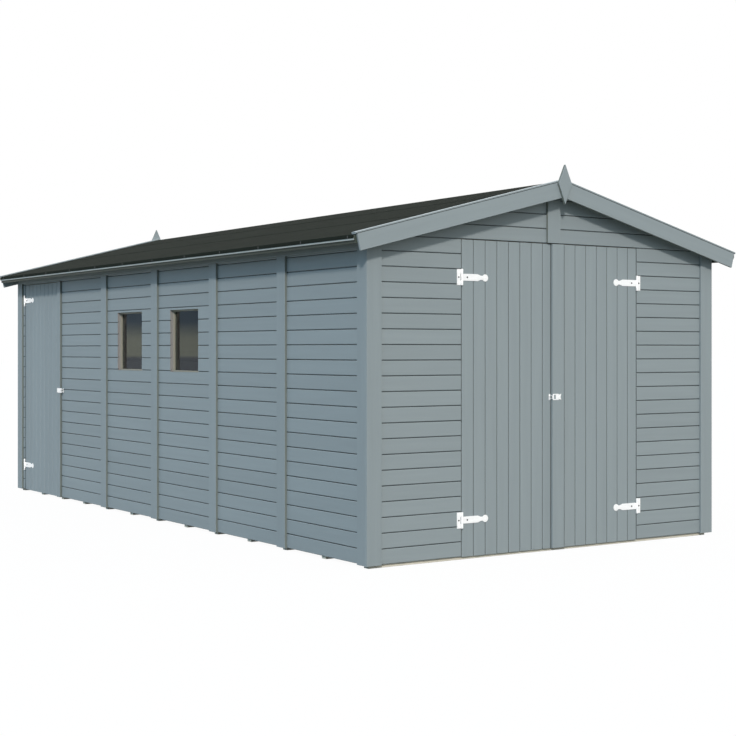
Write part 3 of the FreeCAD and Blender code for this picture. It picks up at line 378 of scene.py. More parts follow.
def glassMaterial(name, look):
    material, tree, shader = newMaterial(name)
    feed(tree, shader, {"Base Color": look["colour"], "Roughness": 0.0, "IOR": look["index"],
                        "Transmission Weight": 1.0})
    clear = addNode(tree, "ShaderNodeBsdfTransparent", {"Color": look["shadow"]})
    path = addNode(tree, "ShaderNodeLightPath")
    passing = addNode(tree, "ShaderNodeMath", operation="MAXIMUM")
    mix = addNode(tree, "ShaderNodeMixShader")
    out = tree.nodes["Material Output"]
    link = tree.links.new
    link(path.outputs["Is Shadow Ray"], passing.inputs[0])
    link(path.outputs["Is Diffuse Ray"], passing.inputs[1])
    link(passing.outputs[0], mix.inputs[0])
    link(shader.outputs[0], mix.inputs[1])
    link(clear.outputs[0], mix.inputs[2])
    link(mix.outputs[0], out.inputs["Surface"])
    return material


# for each paint, stain, painted shade or painted highlight: its material, its colour, and how far boards differ in
# tone
paints = {
    "paint": ("greyBluePaint", paintLook["colour"], paintLook["toneSpread"]),
    "edge": ("thinPaintOnEdges", linear(116, 122, 116), 0.04),
    # groove is painted shade, the dark inside the joints between boards and in recesses
    "groove": ("paintedGrooveShade", linear(46, 52, 52), 0.04),
    # dim is a lighter painted shade, the dark inside the joints of the door boards
    "dim": ("paintedDoorGrooveShade", linear(92, 98, 97), 0.04),
    # dark is painted shade, the dark on the battens' faces under the eaves
    "dark": ("paintedBattenShade", linear(58, 66, 58), 0.05),
    "lining": ("stainedLining", linear(147, 143, 139), 0.04),
    # cap is a painted highlight, the caps' tops lighter where the sun catches them
    "cap": ("paintedCapTopHighlight", linear(184, 190, 191), 0.02),
    "batten": ("battenPaint", linear(178, 182, 178), 0.02),
    "cream": ("creamPaint", linear(158, 153, 138), 0.02),
    # soffit is painted shade, the dark of the roof boards under the eaves and verges
    "soffit": ("paintedEavesShade", linear(72, 80, 72), 0.05),
}
finishes = {finish: paintMaterial(name, dict(paintLook, colour=colour, toneSpread=spread))
            for finish, (name, colour, spread) in paints.items()}
finishes.update({
    "timber": timberMaterial("bareTimber", timberLook),
    "bearer": timberMaterial("paleBearerTimber", bearerLook),
    "felt": feltMaterial("roofingFelt", feltLook),
    "zinc": zincMaterial("brightZinc", zincLook),
    "iron": zincMaterial("darkIron", ironLook),
    "glass": glassMaterial("windowGlass", glassLook),
})
print("materials ready")


# Meshes read from the frame

def merged(nodeName):
    # a node's shape as clean flat faces
    work = bmesh.new()
    work.from_mesh(nodes[nodeName].data)
    bmesh.ops.remove_doubles(work, verts=work.verts, dist=0.000002)
    bmesh.ops.dissolve_limit(work, angle_limit=math.radians(0.4), verts=work.verts, edges=work.edges)
    return work


def looseParts(work):
    # the vertices of each separate solid
    left, parts = set(work.verts), []
    while left:
        start = left.pop()
        part, edge = [start], [start]
        while edge:
            vert = edge.pop()
            for link in vert.link_edges:
                other = link.other_vert(vert)
                if other in left:
                    left.discard(other)
                    part.append(other)
                    edge.append(other)
        parts.append(part)
    return parts


def lowCorner(part):
    return tuple(round(min(v.co[i] for v in part), 4) for i in range(3))


def mapGrain(mesh, seed):
    # lays the grain along each solid's longest side, and gives each solid a tone of its own
    work = bmesh.new()
    work.from_mesh(mesh)
    uvLayer = work.loops.layers.uv.get("grain") or work.loops.layers.uv.new("grain")
    toneLayer = work.verts.layers.float.get("tone") or work.verts.layers.float.new("tone")
    dice = random.Random(seed)
    for part in sorted(looseParts(work), key=lowCorner):
        longest = max((e for v in part for e in v.link_edges), key=lambda e: round(e.calc_length(), 5))
        along = (longest.verts[1].co - longest.verts[0].co).normalized()
        if along[max(range(3), key=lambda i: abs(along[i]))] < 0:
            along = -along
        tone, shiftU, shiftV = dice.random(), dice.uniform(0, 40), dice.uniform(0, 40)
        for vert in part:
            vert[toneLayer] = tone
        for face in {f for v in part for f in v.link_faces}:
            if abs(face.normal.dot(along)) > 0.7:
                sideways = face.normal.orthogonal().normalized()
                endways = face.normal.cross(sideways)
            else:
                sideways, endways = face.normal.cross(along).normalized(), along
            for loop in face.loops:
                loop[uvLayer].uv = (loop.vert.co.dot(endways) + shiftU, loop.vert.co.dot(sideways) + shiftV)
    work.to_mesh(mesh)
    work.free()


def dressed(piece, body, slot, *replaced):
    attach(piece, body)
    if replaced:
        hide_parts(*replaced)
    return piece


def bodyOf(nodeName):
    return next(b for b, members in frame["record"]["behaviour"]["bodies"].items() if nodeName in members)


def slotOf(nodeName):
    return next(s["material_slot"] for s in frame["record"]["subparts"] if s["node"] == nodeName)


# Boards. A board is a tongued and grooved section, cut from a straight run of the panel's
# outline; Geometry Nodes lay the row, and the panel's own edges trim it.

boardShape = {"cover": 0.088, "chamfer": 0.0034, "gap": 0.004, "tongue": 0.006, "tongueThick": 0.0036,
              "tonguePlace": 0.42, "slack": 0.0002, "over": 0.05}


def boardSection(thick, cover):
    # across the board, and from its back to its face
    low, high = boardShape["gap"] / 2, cover - boardShape["gap"] / 2
    cut, tongue, slack = boardShape["chamfer"], boardShape["tongue"], boardShape["slack"]
    middle, lip = thick * boardShape["tonguePlace"], boardShape["tongueThick"] / 2
    return [(low, 0), (high, 0), (high, middle - lip), (high + tongue - slack, middle - lip),
            (high + tongue - slack, middle + lip), (high, middle + lip), (high, thick - cut), (high - cut, thick),
            (low + cut, thick), (low, thick - cut), (low, middle + lip + slack), (low + tongue, middle + lip + slack),
            (low + tongue, middle - lip - slack), (low, middle - lip - slack)]


def prism(name, section, length, across, along, out, origin):
    # a straight board with that section, running along from the origin
    work = bmesh.new()
    ends = []
    for distance in (0, length):
        ends.append([work.verts.new(origin + across * u + out * w + along * distance) for u, w in section])
    count = len(section)
    for i in range(count):
        work.faces.new((ends[0][i], ends[0][(i + 1) % count], ends[1][(i + 1) % count], ends[1][i]))
    work.faces.new(ends[0])
    work.faces.new(ends[1])
    bmesh.ops.recalc_face_normals(work, faces=work.faces)
    return newObject(name, meshFrom(work, name))


def makeRowTree():
    tree = bpy.data.node_groups.new("boardRow", "GeometryNodeTree")
    face = tree.interface
    for label, kind in (("Geometry", "NodeSocketGeometry"), ("Board", "NodeSocketObject"), ("Count", "NodeSocketInt"),
                        ("Step", "NodeSocketVector"), ("Finish", "NodeSocketMaterial")):
        face.new_socket(label, in_out="INPUT", socket_type=kind)
    face.new_socket("Geometry", in_out="OUTPUT", socket_type="NodeSocketGeometry")
    given, out = addNode(tree, "NodeGroupInput"), addNode(tree, "NodeGroupOutput")
    line = addNode(tree, "GeometryNodeMeshLine", mode="OFFSET")
    board = addNode(tree, "GeometryNodeObjectInfo", transform_space="ORIGINAL")
    copies = addNode(tree, "GeometryNodeInstanceOnPoints")
    solid = addNode(tree, "GeometryNodeRealizeInstances")
    finish = addNode(tree, "GeometryNodeSetMaterial")
    link = tree.links.new
    link(given.outputs["Count"], line.inputs["Count"])
    link(given.outputs["Step"], line.inputs["Offset"])
    link(given.outputs["Board"], board.inputs["Object"])
    link(line.outputs[0], copies.inputs["Points"])
    link(board.outputs["Geometry"], copies.inputs["Instance"])
    link(copies.outputs[0], solid.inputs[0])
    link(solid.outputs[0], finish.inputs["Geometry"])
    link(given.outputs["Finish"], finish.inputs["Material"])
    link(finish.outputs[0], out.inputs[0])
    return tree


rowTree = makeRowTree()


def runTree(tree, holder, values):
    # gives the tree its inputs, and turns what it makes into a plain mesh
    modifier = holder.modifiers.new("nodes", "NODES")
    modifier.node_group = tree
    for socket in tree.interface.items_tree:
        if socket.name in values and socket.in_out == "INPUT":
            modifier[socket.identifier] = values[socket.name]
    holder.update_tag()
    bpy.context.view_layer.update()
    made = bpy.data.meshes.new_from_object(holder.evaluated_get(bpy.context.evaluated_depsgraph_get()))
    holder.modifiers.remove(modifier)
    holder.data = made
    return holder


def boardRow(name, section, cover, count, length, across, along, out, origin, finish):
    board = prism(name + "_one", section, length, across, along, out, origin)
    holder = newObject(name, bpy.data.meshes.new(name))
    runTree(rowTree, holder, {"Board": board, "Count": count, "Step": tuple(across * cover), "Finish": finish})
    bpy.data.objects.remove(board)
    return holder


def trimTo(work, planes):
    for point, normal in planes:
        cut = bmesh.ops.bisect_plane(work, geom=work.verts[:] + work.edges[:] + work.faces[:], plane_co=point,
                                     plane_no=normal, dist=cutSlip, clear_outer=True)
        rim = [e for e in cut["geom_cut"] if isinstance(e, bmesh.types.BMEdge) and e.is_boundary]
        bmesh.ops.holes_fill(work, edges=rim, sides=0)


def panelsOf(nodeName):
    # for each solid of a node: its corners, and its faces as points and normals
    work = merged(nodeName)
    panels = []
    for part in looseParts(work):
        low = Vector([min(v.co[i] for v in part) for i in range(3)])
        high = Vector([max(v.co[i] for v in part) for i in range(3)])
        faces = {f for v in part for f in v.link_faces}
        planes = [(f.calc_center_median(), f.normal.copy()) for f in faces]
        panels.append((low, high, planes))
    work.free()
    return sorted(panels, key=lambda p: tuple(round(x, 4) for x in p[0]))


def boxesOf(nodeName):
    return [(low, high) for low, high, planes in panelsOf(nodeName)]


def boarded(nodeName, along, across, out, start, inner="timber", cover=None, holes=(), outer="paint", gap="groove"):
    # replaces a node's slabs with boards whose joints count from start, measured along across
    cover = cover or boardShape["cover"]
    along, across, out = Vector(along), Vector(across), Vector(out)
    rows, front = [], None
    for number, (low, high, planes) in enumerate(panelsOf(nodeName), start=1):
        spans = [sorted((low.dot(axis), high.dot(axis))) for axis in (along, across, out)]
        (nearEnd, farEnd), (bottom, top), (back, front) = spans
        first = start + cover * math.floor((bottom - start) / cover + hair)
        count = math.ceil((top - first) / cover - hair)
        origin = along * (nearEnd - boardShape["over"]) + across * first + out * back
        row = boardRow(f"{nodeName}_row_{number}", boardSection(front - back, cover), cover, count,
                       farEnd - nearEnd + 2 * boardShape["over"], across, along, out, origin, finishes[outer])
        work = bmesh.new()
        work.from_mesh(row.data)
        trimTo(work, [(point, normal) for point, normal in planes
                      if abs(normal.dot(out)) < 0.5 and not insideHole(point, holes)])
        work.to_mesh(row.data)
        work.free()
        rows.append(row)
    whole = joined(nodeName + "_boards", rows)
    for low, high in holes:
        cutBox(whole, low, high)
    whole.data.materials.clear()
    for finish in (outer, inner, gap, "lining"):
        whole.data.materials.append(finishes[finish])
    # faces turned in are bare timber; the sides, chamfers and tongues of the joints take the gap finish, which on
    # walls and doors is painted shade; the edges of holes take the lining
    for face in whole.data.polygons:
        facing = face.normal.dot(out)
        deep = front - face.center.dot(out)
        face.material_index = 1 if facing < -0.5 else 2 if facing < 0.3 or deep > boardShape["chamfer"] else 0
        if abs(facing) < 0.3 and insideHole(face.center, holes):
            face.material_index = 3
    mapGrain(whole.data, nodeName)
    return dressed(whole, bodyOf(nodeName), slotOf(nodeName), nodeName)


def insideHole(point, holes):
    return any(all(low[i] - 0.001 < point[i] < high[i] + 0.001 for i in (1, 2)) for low, high in holes)


def joined(name, items):
    work = bmesh.new()
    for item in items:
        work.from_mesh(item.data)
    for item in items:
        bpy.data.objects.remove(item)
    return newObject(name, meshFrom(work, name))


def cutBox(item, low, high):
    work = bmesh.new()
    bmesh.ops.create_cube(work, size=1)
    size, middle = high - low, (high + low) / 2
    bmesh.ops.transform(work, matrix=Matrix.Translation(middle) @ Matrix.Diagonal((*size, 1)), verts=work.verts)
    cutter = newObject("cutter", meshFrom(work, "cutter"))
    modifier = item.modifiers.new("hole", "BOOLEAN")
    modifier.operation = "DIFFERENCE"
    modifier.solver = "EXACT"
    modifier.object = cutter
    bpy.context.view_layer.update()
    item.data = bpy.data.meshes.new_from_object(item.evaluated_get(bpy.context.evaluated_depsgraph_get()))
    item.modifiers.remove(item.modifiers["hole"])
    bpy.data.objects.remove(cutter)


toRight, toBack, upward = (1, 0, 0), (0, 1, 0), (0, 0, 1)
toLeft, toFront = (-1, 0, 0), (0, -1, 0)
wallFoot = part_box("front_wall")[0].z
rightLeafGroove = 0.096  # the first joint right of the meeting strip
throughWall = Vector((0.1, 0, 0))
windowHoles = [(low - throughWall, high + throughWall) for low, high in boxesOf("window_glass")]

for nodeName, along, out in (("front_wall", toRight, toFront), ("front_gable_panel", toRight, toFront),
                             ("back_wall", toRight, toBack), ("back_gable_panel", toRight, toBack),
                             ("right_wall_panels", toBack, toRight), ("left_wall_panels", toBack, toLeft),
                             ("side_door_surround", toBack, toLeft)):
    boarded(nodeName, along, upward, out, wallFoot)
boarded("left_window_panels", toBack, upward, toLeft, wallFoot, holes=windowHoles)
# the doors' joints take the lighter painted shade
boarded("left_leaf_boards", upward, toRight, toFront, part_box("left_leaf_boards")[0].x, gap="dim")
boarded("right_leaf_boards", upward, toRight, toFront, rightLeafGroove, gap="dim")
boarded("side_door_boards", upward, toFront, toLeft, -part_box("side_door_boards")[1].y, gap="dim")
print("walls and doors boarded")

floorCover = 0.112
boarded("floor_deck", toBack, toRight, upward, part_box("floor_deck")[0].x, outer="timber", gap="timber",
        cover=floorCover)


# The roof's boards lie down the slope, with their jointed face to the room

def roofBoards(nodeName, side):
    low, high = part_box(nodeName)
    planes = panelsOf(nodeName)[0][2]
    point, under = next((c, n) for c, n in planes if n.z < -square)
    above = next(c for c, n in planes if n.z > square)
    down = Vector((0, side, 0)).cross(under)
    if down.x * side < 0:
        down = -down
    thick = (point - above).dot(under)
    cover, over = boardShape["cover"], boardShape["over"]
    # from the felt's side of the boards, on the ridge line; one board more than needed at each end
    origin = Vector((0, low.y - over, above.z - above.x * down.z / down.x))
    count = math.ceil((high.x - low.x) / abs(down.x) / cover) + 2
    row = boardRow(nodeName + "_row", boardSection(thick, cover), cover, count, high.y - low.y + 2 * over, down,
                   Vector(toBack), under, origin - down * cover, finishes["timber"])
    work = bmesh.new()
    work.from_mesh(row.data)
    trimTo(work, [(c, n) for c, n in planes if abs(n.z) < square])
    work.to_mesh(row.data)
    work.free()
    row.name = nodeName + "_boards"
    row.data.materials.clear()
    for finish in ("timber", "soffit"):
        row.data.materials.append(finishes[finish])
    # outside the walls the same boards are painted shade, the dark under the eaves and verges
    wallX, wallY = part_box("right_wall_panels")[1].x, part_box("back_wall")[1].y
    for face in row.data.polygons:
        c = face.center
        face.material_index = 1 if abs(c.x) > wallX or abs(c.y) > wallY else 0
    mapGrain(row.data, nodeName)
    return dressed(row, bodyOf(nodeName), slotOf(nodeName), nodeName)


roofBoards("roof_deck_left", -1)
roofBoards("roof_deck_right", 1)
print("floor and roof boarded")


# Sawn and planed pieces, with their arrises eased

arris = {"ease": 0.0012, "sharpOver": 25, "faceSquare": 0.6}


def sharpEdges(work, angle):
    return [e for e in work.edges if e.is_manifold and e.calc_face_angle() > math.radians(angle)]


def eased(nodeName, finish, edge=None, faces=(0,)):
    # where edge is given, faces square to none of the axes in faces get that finish
    work = merged(nodeName)
    bmesh.ops.bevel(work, geom=sharpEdges(work, arris["sharpOver"]), offset=arris["ease"], segments=1, profile=0.5,
                    affect="EDGES", clamp_overlap=True)
    piece = newObject(nodeName + "_finished", meshFrom(work, nodeName + "_finished"))
    piece.data.materials.append(finishes[finish])
    if edge:
        piece.data.materials.append(finishes[edge])
        for face in piece.data.polygons:
            face.material_index = 0 if any(abs(face.normal[axis]) > arris["faceSquare"] for axis in faces) else 1
    mapGrain(piece.data, nodeName)
    return dressed(piece, bodyOf(nodeName), slotOf(nodeName), nodeName)


# the finish, and the axes across the faces that have it; narrow edges are thinly painted
trimFinish = {
    "left_cover_strips": ("paint", (0,)), "right_cover_strips": ("paint", (0,)), "side_corner_boards": ("paint", (0,)),
    "eaves_boards": ("paint", (0,)), "side_door_strip": ("paint", (0,)), "gable_cover_strips": ("paint", (1,)),
    "front_corner_boards": ("paint", (0, 1)), "back_corner_boards": ("paint", (0, 1)),
    "front_bargeboards": ("paint", (0, 1)), "back_bargeboards": ("paint", (0, 1)), "finials": ("paint", (1,)),
    "window_beads": ("cream", (0, 1)), "window_linings": ("lining", (0, 1)),
}
for nodeName, (finish, axes) in trimFinish.items():
    eased(nodeName, finish, edge="edge", faces=axes)
eased("bearers", "bearer")
for nodeName in ("side_wall_studs", "gable_wall_studs", "side_wall_rails", "gable_wall_rails",
                 "door_stops", "roof_rafters", "roof_collars", "roof_purlins", "left_leaf_braces",
                 "right_leaf_braces", "side_door_braces"):
    eased(nodeName, "timber")


paleDepth = 0.002  # how far in from its narrow face a batten is still painted


def makeBattens():
    # the batten's narrow face is painted pale, and the rest of it is painted shade, the dark under the eaves
    battens = eased("eaves_battens", "dark")
    battens.data.materials.append(finishes["batten"])
    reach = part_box("eaves_battens")[1].x - paleDepth
    for face in battens.data.polygons:
        if abs(face.center.x) > reach:
            face.material_index = 1


capShape = {"trim": 0.016, "line": 0.0035}  # how far the ends are cut back, and the width of the line of painted shade


def makeCaps():
    # the caps end a little above the bargeboards' lower ends
    caps = eased("verge_caps", "paint")
    slope = max((n for low, high, planes in panelsOf("verge_caps") for c, n in planes), key=lambda n: n.z)
    ends = []
    for side in (-1, 1):
        down = Vector((side * slope.z, 0, -abs(slope.x)))
        reach = max(v.co.dot(down) for v in caps.data.vertices) - capShape["trim"]
        ends.append((down * reach, down))
    work = bmesh.new()
    work.from_mesh(caps.data)
    trimTo(work, ends)
    # their top gets a painted highlight, and a line along the bottom of the outer face gets painted shade, the dark of
    # the joint above the bargeboard
    for side in (-1, 1):
        outward = Vector((side * abs(slope.x), 0, slope.z))
        foot = min(v.co.dot(outward) for v in work.verts if v.co.x * side > 0.1)
        near = [g for g in work.verts[:] + work.edges[:] + work.faces[:]
                if (g.co.x if isinstance(g, bmesh.types.BMVert) else sum(v.co.x for v in g.verts)) * side > 0]
        bmesh.ops.bisect_plane(work, geom=near, plane_co=outward * (foot + capShape["line"]), plane_no=outward,
                               dist=cutSlip)
        for face in work.faces:
            middle = face.calc_center_median()
            if middle.x * side <= 0:
                continue
            if face.normal.z > arris["faceSquare"]:
                face.material_index = 1
            elif abs(face.normal.y) > arris["faceSquare"] and middle.dot(outward) < foot + capShape["line"]:
                face.material_index = 2
    work.to_mesh(caps.data)
    work.free()
    caps.data.materials.append(finishes["cap"])
    caps.data.materials.append(finishes["groove"])
    mapGrain(caps.data, "verge_caps")


quirk = {"inset": 0.0065, "wide": 0.003, "deep": 0.0035}


def makeMeetingStrip():
    # a quirk is worked along the strip's free edge, and its faces get the painted shade of the grooves
    strip = eased("meeting_strip", "paint")
    low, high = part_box("meeting_strip")
    right, over = high.x - quirk["inset"], 0.01
    left = right - quirk["wide"]
    cutBox(strip, Vector((left, low.y - over, low.z - over)), Vector((right, low.y + quirk["deep"], high.z + over)))
    strip.data.materials.append(finishes["groove"])
    for face in strip.data.polygons:
        c = face.center
        if left - hair < c.x < right + hair and low.y + hair < c.y < high.y - 0.001:
            face.material_index = 1
    mapGrain(strip.data, "meeting_strip")


makeBattens()
makeCaps()
makeMeetingStrip()
print("trim and framing eased")


# Ironwork

steelEdge = {"ease": 0.0004, "sharpOver": 35, "creaseOver": 28}


def forged(nodeName):
    work = merged(nodeName)
    bmesh.ops.bevel(work, geom=sharpEdges(work, steelEdge["sharpOver"]), offset=steelEdge["ease"], segments=2,
                    profile=0.6, affect="EDGES", clamp_overlap=True)
    for face in work.faces:
        face.smooth = True
    creases = set(sharpEdges(work, steelEdge["creaseOver"]))
    for edge in work.edges:
        edge.smooth = edge not in creases
    piece = newObject(nodeName + "_finished", meshFrom(work, nodeName + "_finished"))
    piece.data.materials.append(finishes["zinc"])
    return dressed(piece, bodyOf(nodeName), slotOf(nodeName), nodeName)


for nodeName in ("hinge_plates", "hinge_pins", "left_leaf_straps", "right_leaf_straps", "side_door_straps",
                 "front_hasp_tail", "front_hasp_flap", "side_hasp_tail", "side_hasp_flap", "front_staple",
                 "side_staple"):
    forged(nodeName)
print("ironwork ready")


# Small fixings. Geometry Nodes stand a copy of one fixing on each place, turned to face
# outward and spun by a random amount.

def makeScatterTree():
    tree = bpy.data.node_groups.new("scatterFixings", "GeometryNodeTree")
    face = tree.interface
    for label, kind in (("Geometry", "NodeSocketGeometry"), ("Fixing", "NodeSocketObject"),
                        ("Spin", "NodeSocketFloat"), ("Seed", "NodeSocketInt"), ("Finish", "NodeSocketMaterial")):
        face.new_socket(label, in_out="INPUT", socket_type=kind)
    face.new_socket("Geometry", in_out="OUTPUT", socket_type="NodeSocketGeometry")
    given, out = addNode(tree, "NodeGroupInput"), addNode(tree, "NodeGroupOutput")
    facing = addNode(tree, "GeometryNodeInputNamedAttribute", {"Name": "facing"}, data_type="FLOAT_VECTOR")
    turn = addNode(tree, "FunctionNodeAlignRotationToVector", axis="Z")
    chance = addNode(tree, "FunctionNodeRandomValue", data_type="FLOAT")
    spin = addNode(tree, "FunctionNodeAxisAngleToRotation", {"Axis": (0, 0, 1)})
    both = addNode(tree, "FunctionNodeRotateRotation", rotation_space="LOCAL")
    fixing = addNode(tree, "GeometryNodeObjectInfo", transform_space="ORIGINAL")
    copies = addNode(tree, "GeometryNodeInstanceOnPoints")
    solid = addNode(tree, "GeometryNodeRealizeInstances")
    finish = addNode(tree, "GeometryNodeSetMaterial")
    link = tree.links.new
    link(given.outputs["Geometry"], copies.inputs["Points"])
    link(given.outputs["Fixing"], fixing.inputs["Object"])
    link(fixing.outputs["Geometry"], copies.inputs["Instance"])
    link(facing.outputs["Attribute"], turn.inputs["Vector"])
    link(given.outputs["Spin"], chance.inputs[3])
    link(given.outputs["Seed"], chance.inputs["Seed"])
    link(chance.outputs[1], spin.inputs["Angle"])
    link(turn.outputs[0], both.inputs["Rotation"])
    link(spin.outputs[0], both.inputs["Rotate By"])
    link(both.outputs[0], copies.inputs["Rotation"])
    link(copies.outputs[0], solid.inputs[0])
    link(solid.outputs[0], finish.inputs["Geometry"])
    link(given.outputs["Finish"], finish.inputs["Material"])
    link(finish.outputs[0], out.inputs[0])
    return tree


scatterTree = makeScatterTree()


# shares of the head's height, radius and cross, and two depths
headShape = {"shoulder": 0.3, "crown": 0.72, "slot": 0.22, "sunk": 0.0006, "recess": 0.0009}


def domeHead(name, radius, height, sides, cross=None):
    # a low round head with its foot at z 0, with a cross recess if its half length is given
    work = bmesh.new()

    def ring(size, level):
        angles = [(i - 0.5) * math.tau / sides for i in range(sides)]
        return [work.verts.new((size * math.cos(angle), size * math.sin(angle), level)) for angle in angles]

    def band(first, second):
        for i in range(sides):
            work.faces.new((first[i], first[(i + 1) % sides], second[(i + 1) % sides], second[i]))

    rings = [ring(radius, -headShape["sunk"]), ring(radius, height * headShape["shoulder"]),
             ring(radius * headShape["crown"], height)]
    if cross:
        arm, half = cross, cross * headShape["slot"]
        corners = []
        for quarter in range(4):
            c, s = round(math.cos(quarter * math.pi / 2)), round(math.sin(quarter * math.pi / 2))
            corners += [(c * x - s * y, s * x + c * y) for x, y in ((arm, -half), (arm, half), (half, half))]
        for level in (height, height - headShape["recess"]):
            rings.append([work.verts.new((x, y, level)) for x, y in corners])
    for first, second in zip(rings, rings[1:]):
        band(first, second)
    work.faces.new(rings[-1])
    return newObject(name, meshFrom(work, name))


def scattered(name, fixing, places, finish, body, slot, spin=0.0, seed=1):
    mesh = bpy.data.meshes.new(name)
    mesh.from_pydata([point for point, facing in places], [], [])
    layer = mesh.attributes.new("facing", "FLOAT_VECTOR", "POINT")
    for i, (point, facing) in enumerate(places):
        layer.data[i].vector = facing
    holder = newObject(name, mesh)
    runTree(scatterTree, holder, {"Fixing": fixing, "Spin": spin, "Seed": seed, "Finish": finishes[finish]})
    if finish == "paint":
        mapGrain(holder.data, name)
    return dressed(holder, body, slot)


headSizes = {"screw": {"radius": 0.0043, "height": 0.0010, "sides": 12, "cross": 0.0021},
             "bolt": {"radius": 0.0052, "height": 0.0024, "sides": 12},
             "nail": {"radius": 0.0018, "height": 0.0004, "sides": 8}}
heads = {kind: domeHead(kind + "Head", **size) for kind, size in headSizes.items()}

# A tee hinge lies flat, the gauge of its steel proud of the face it is screwed to. The plate's
# middle hole and the strap's first hole take dark coach bolts, and the others take screws.
# Each leaf has its pins' place, the way its straps point, and the way they face.
teeHinge = {"heights": (0.231, 1.643), "plateInset": 0.020, "plateRise": 0.031, "strapHoles": (0.094, 0.175),
            "boltHole": 0.042, "maxSpin": 1.5}
hungLeaves = {"left_leaf": ((-0.6975, -2.729), (1, 0), toFront), "right_leaf": ((0.6975, -2.729), (-1, 0), toFront),
              "side_leaf": ((-1.355, 2.5955), (0, -1), toLeft)}


def hingeFixings():
    # points and facings by kind and body
    found = {}

    def fix(kind, body, pin, strap, facing, distance, height):
        point = (pin[0] + strap[0] * distance, pin[1] + strap[1] * distance, height)
        found.setdefault((kind, body), []).append((point, facing))

    for height in teeHinge["heights"]:
        for leaf, hung in hungLeaves.items():
            for rise in (-teeHinge["plateRise"], teeHinge["plateRise"]):
                fix("screw", "shed", *hung, -teeHinge["plateInset"], height + rise)
            fix("bolt", "shed", *hung, -teeHinge["plateInset"], height)
            fix("bolt", leaf, *hung, teeHinge["boltHole"], height)
            for hole in teeHinge["strapHoles"]:
                fix("screw", leaf, *hung, hole, height)
    return found


for (kind, body), places in hingeFixings().items():
    scattered(f"{body}_{kind}s", heads[kind], places, "iron" if kind == "bolt" else "zinc", body, "zinc",
              spin=teeHinge["maxSpin"], seed=len(places))
print("screws and bolts placed")

# Painted nails: pairs up the strips and corner boards, and one in each board at each stud
nailing = {"step": 0.30, "inset": 0.02, "end": 0.05, "boards": 20, "edge": 0.01, "shortStud": 0.15}


def nailRows(low, high, along, across, level, out):
    # two rows of nails near the edges of a board, with its face at that level
    places = []
    run = high[along] - low[along]
    count = max(2, round(run / nailing["step"]) + 1)
    for i in range(count):
        for place in (low[across] + nailing["inset"], high[across] - nailing["inset"]):
            point = [0, 0, 0]
            point[along] = low[along] + nailing["end"] + i * (run - 2 * nailing["end"]) / (count - 1)
            point[across], point[3 - along - across] = place, level
            places.append((tuple(point), out))
    return places


def trimNails():
    places = []
    for nodeName, across, side in (("left_cover_strips", 1, -1), ("right_cover_strips", 1, 1),
                                   ("front_corner_boards", 0, -1), ("back_corner_boards", 0, 1)):
        facing = [0, 0, 0]
        facing[1 - across] = side
        for low, high in boxesOf(nodeName):
            level = (low if side < 0 else high)[1 - across]
            places += nailRows(low, high, 2, across, level, tuple(facing))
    return places


def boardNails():
    places = []
    strips = boxesOf("left_cover_strips") + boxesOf("right_cover_strips") + boxesOf("side_corner_boards")
    studs = boxesOf("side_wall_studs")
    for nodeName, side in (("left_wall_panels", -1), ("left_window_panels", -1), ("side_door_surround", -1),
                           ("right_wall_panels", 1)):
        for low, high in boxesOf(nodeName):
            level = low.x if side < 0 else high.x
            for studLow, studHigh in studs:
                middle = (studLow + studHigh) / 2
                if middle.x * side < 0 or not low.y < middle.y < high.y:
                    continue
                if studHigh.z - studLow.z < nailing["shortStud"]:
                    continue
                if any(l.y - 0.003 < middle.y < h.y + 0.003 and l.x * side > 0 for l, h in strips):
                    continue
                bottom = max(studLow.z, low.z + nailing["edge"])
                top = min(studHigh.z, high.z - nailing["edge"])
                for board in range(nailing["boards"]):
                    point = Vector((level, middle.y, wallFoot + boardShape["cover"] * (board + 0.5)))
                    if bottom < point.z < top and not insideHole(point, windowHoles):
                        places.append((tuple(point), (side, 0, 0)))
    return places


for name, places, slot in (("trim_nails", trimNails(), "paint_trim"), ("board_nails", boardNails(), "paint")):
    scattered(name, heads["nail"], places, "paint", "shed", slot)
    print(name + ":", len(places))


# Felt. Two courses lap over the one below on each slope, and tarred tabs hold its fold.
feltLaps = {"shares": (0.40, 0.74), "thick": 0.0012, "inset": 0.004, "steps": 70, "wander": 0.0012, "rise": 0.0003}


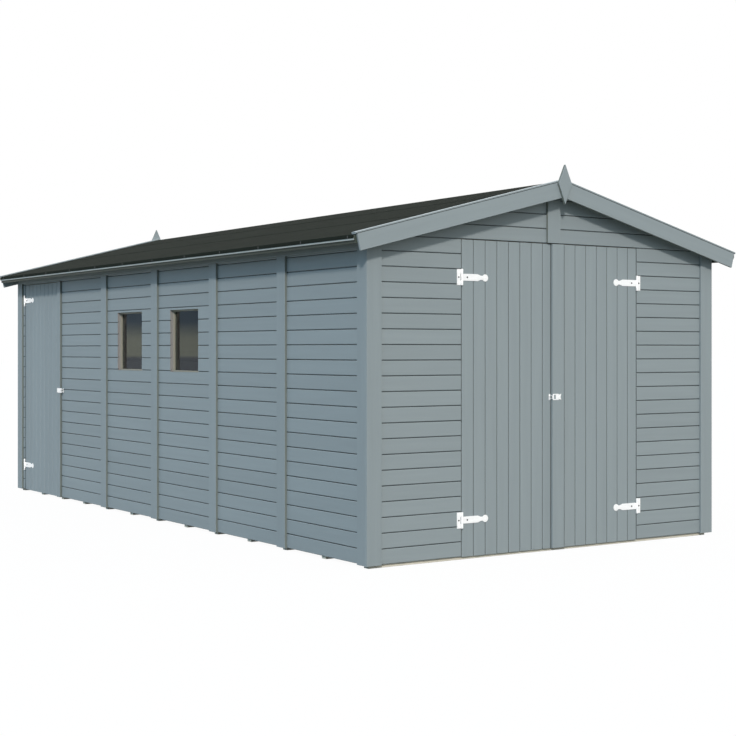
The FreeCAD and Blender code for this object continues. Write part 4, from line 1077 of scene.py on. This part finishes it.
def feltCourse(name, side, share, lift, seed):
    point, normal = next((c, n) for c, n in panelsOf("roof_felt")[0][2] if n.z > square and n.x * side > 0.05)
    low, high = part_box("roof_felt")
    down = Vector((side * normal.z, 0, -abs(normal.x)))
    ridge = Vector((0, 0, point.dot(normal) / normal.z))
    length = (high.x / normal.z) * (1 - share)
    dice = random.Random(seed)
    work = bmesh.new()
    lines = []
    for i in range(feltLaps["steps"] + 1):
        y = low.y + feltLaps["inset"] + (high.y - low.y - 2 * feltLaps["inset"]) * i / feltLaps["steps"]
        wander, rise = dice.uniform(-feltLaps["wander"], feltLaps["wander"]), dice.uniform(0, feltLaps["rise"])
        base = ridge + Vector((0, y, 0))
        end = base + down * (length + wander)
        lines.append([work.verts.new(v) for v in (base + normal * lift, end + normal * (lift + rise),
                                                  end + normal * (lift + rise - feltLaps["thick"]), base)])
    for first, second in zip(lines, lines[1:]):
        for i in range(3):
            work.faces.new((first[i], first[i + 1], second[i + 1], second[i]))
    for line in (lines[0], lines[-1]):
        work.faces.new(line)
    bmesh.ops.recalc_face_normals(work, faces=work.faces)
    course = newObject(name, meshFrom(work, name))
    course.data.materials.append(finishes["felt"])
    return dressed(course, "shed", "felt")


for side, label in ((-1, "left"), (1, "right")):
    for number, share in enumerate(feltLaps["shares"], start=1):
        feltCourse(f"felt_course_{label}_{number}", side, share, feltLaps["thick"] * number, number * 3 + side)

# tabs on the felt's fold, at an even pitch from the front
tabs = {"first": -2.754, "pitch": 0.498, "count": 12, "wide": 0.007, "tall": 0.016, "thick": 0.0012, "out": 1.5032,
        "z": 1.838}


def makeTabs():
    places = [((side * tabs["out"], tabs["first"] + i * tabs["pitch"], tabs["z"]), (side, 0, 0))
              for side in (-1, 1) for i in range(tabs["count"])]
    work = bmesh.new()
    bmesh.ops.create_cube(work, size=1)
    size = Matrix.Diagonal((tabs["tall"], tabs["wide"], tabs["thick"], 1))
    bmesh.ops.transform(work, matrix=size, verts=work.verts)
    tab = newObject("tab", meshFrom(work, "tab"))
    scattered("felt_tabs", tab, places, "iron", "shed", "felt")
    bpy.data.objects.remove(tab)


makeTabs()
for item in heads.values():
    bpy.data.objects.remove(item)
print("felt laid")


# Left as they are, with a better finish

def refinish(nodeName, finish):
    data = nodes[nodeName].data
    for index in range(len(data.materials)):
        data.materials[index] = finishes[finish]
    if not data.materials:
        data.materials.append(finishes[finish])


refinish("window_glass", "glass")
refinish("roof_felt", "felt")
print("finishes given")
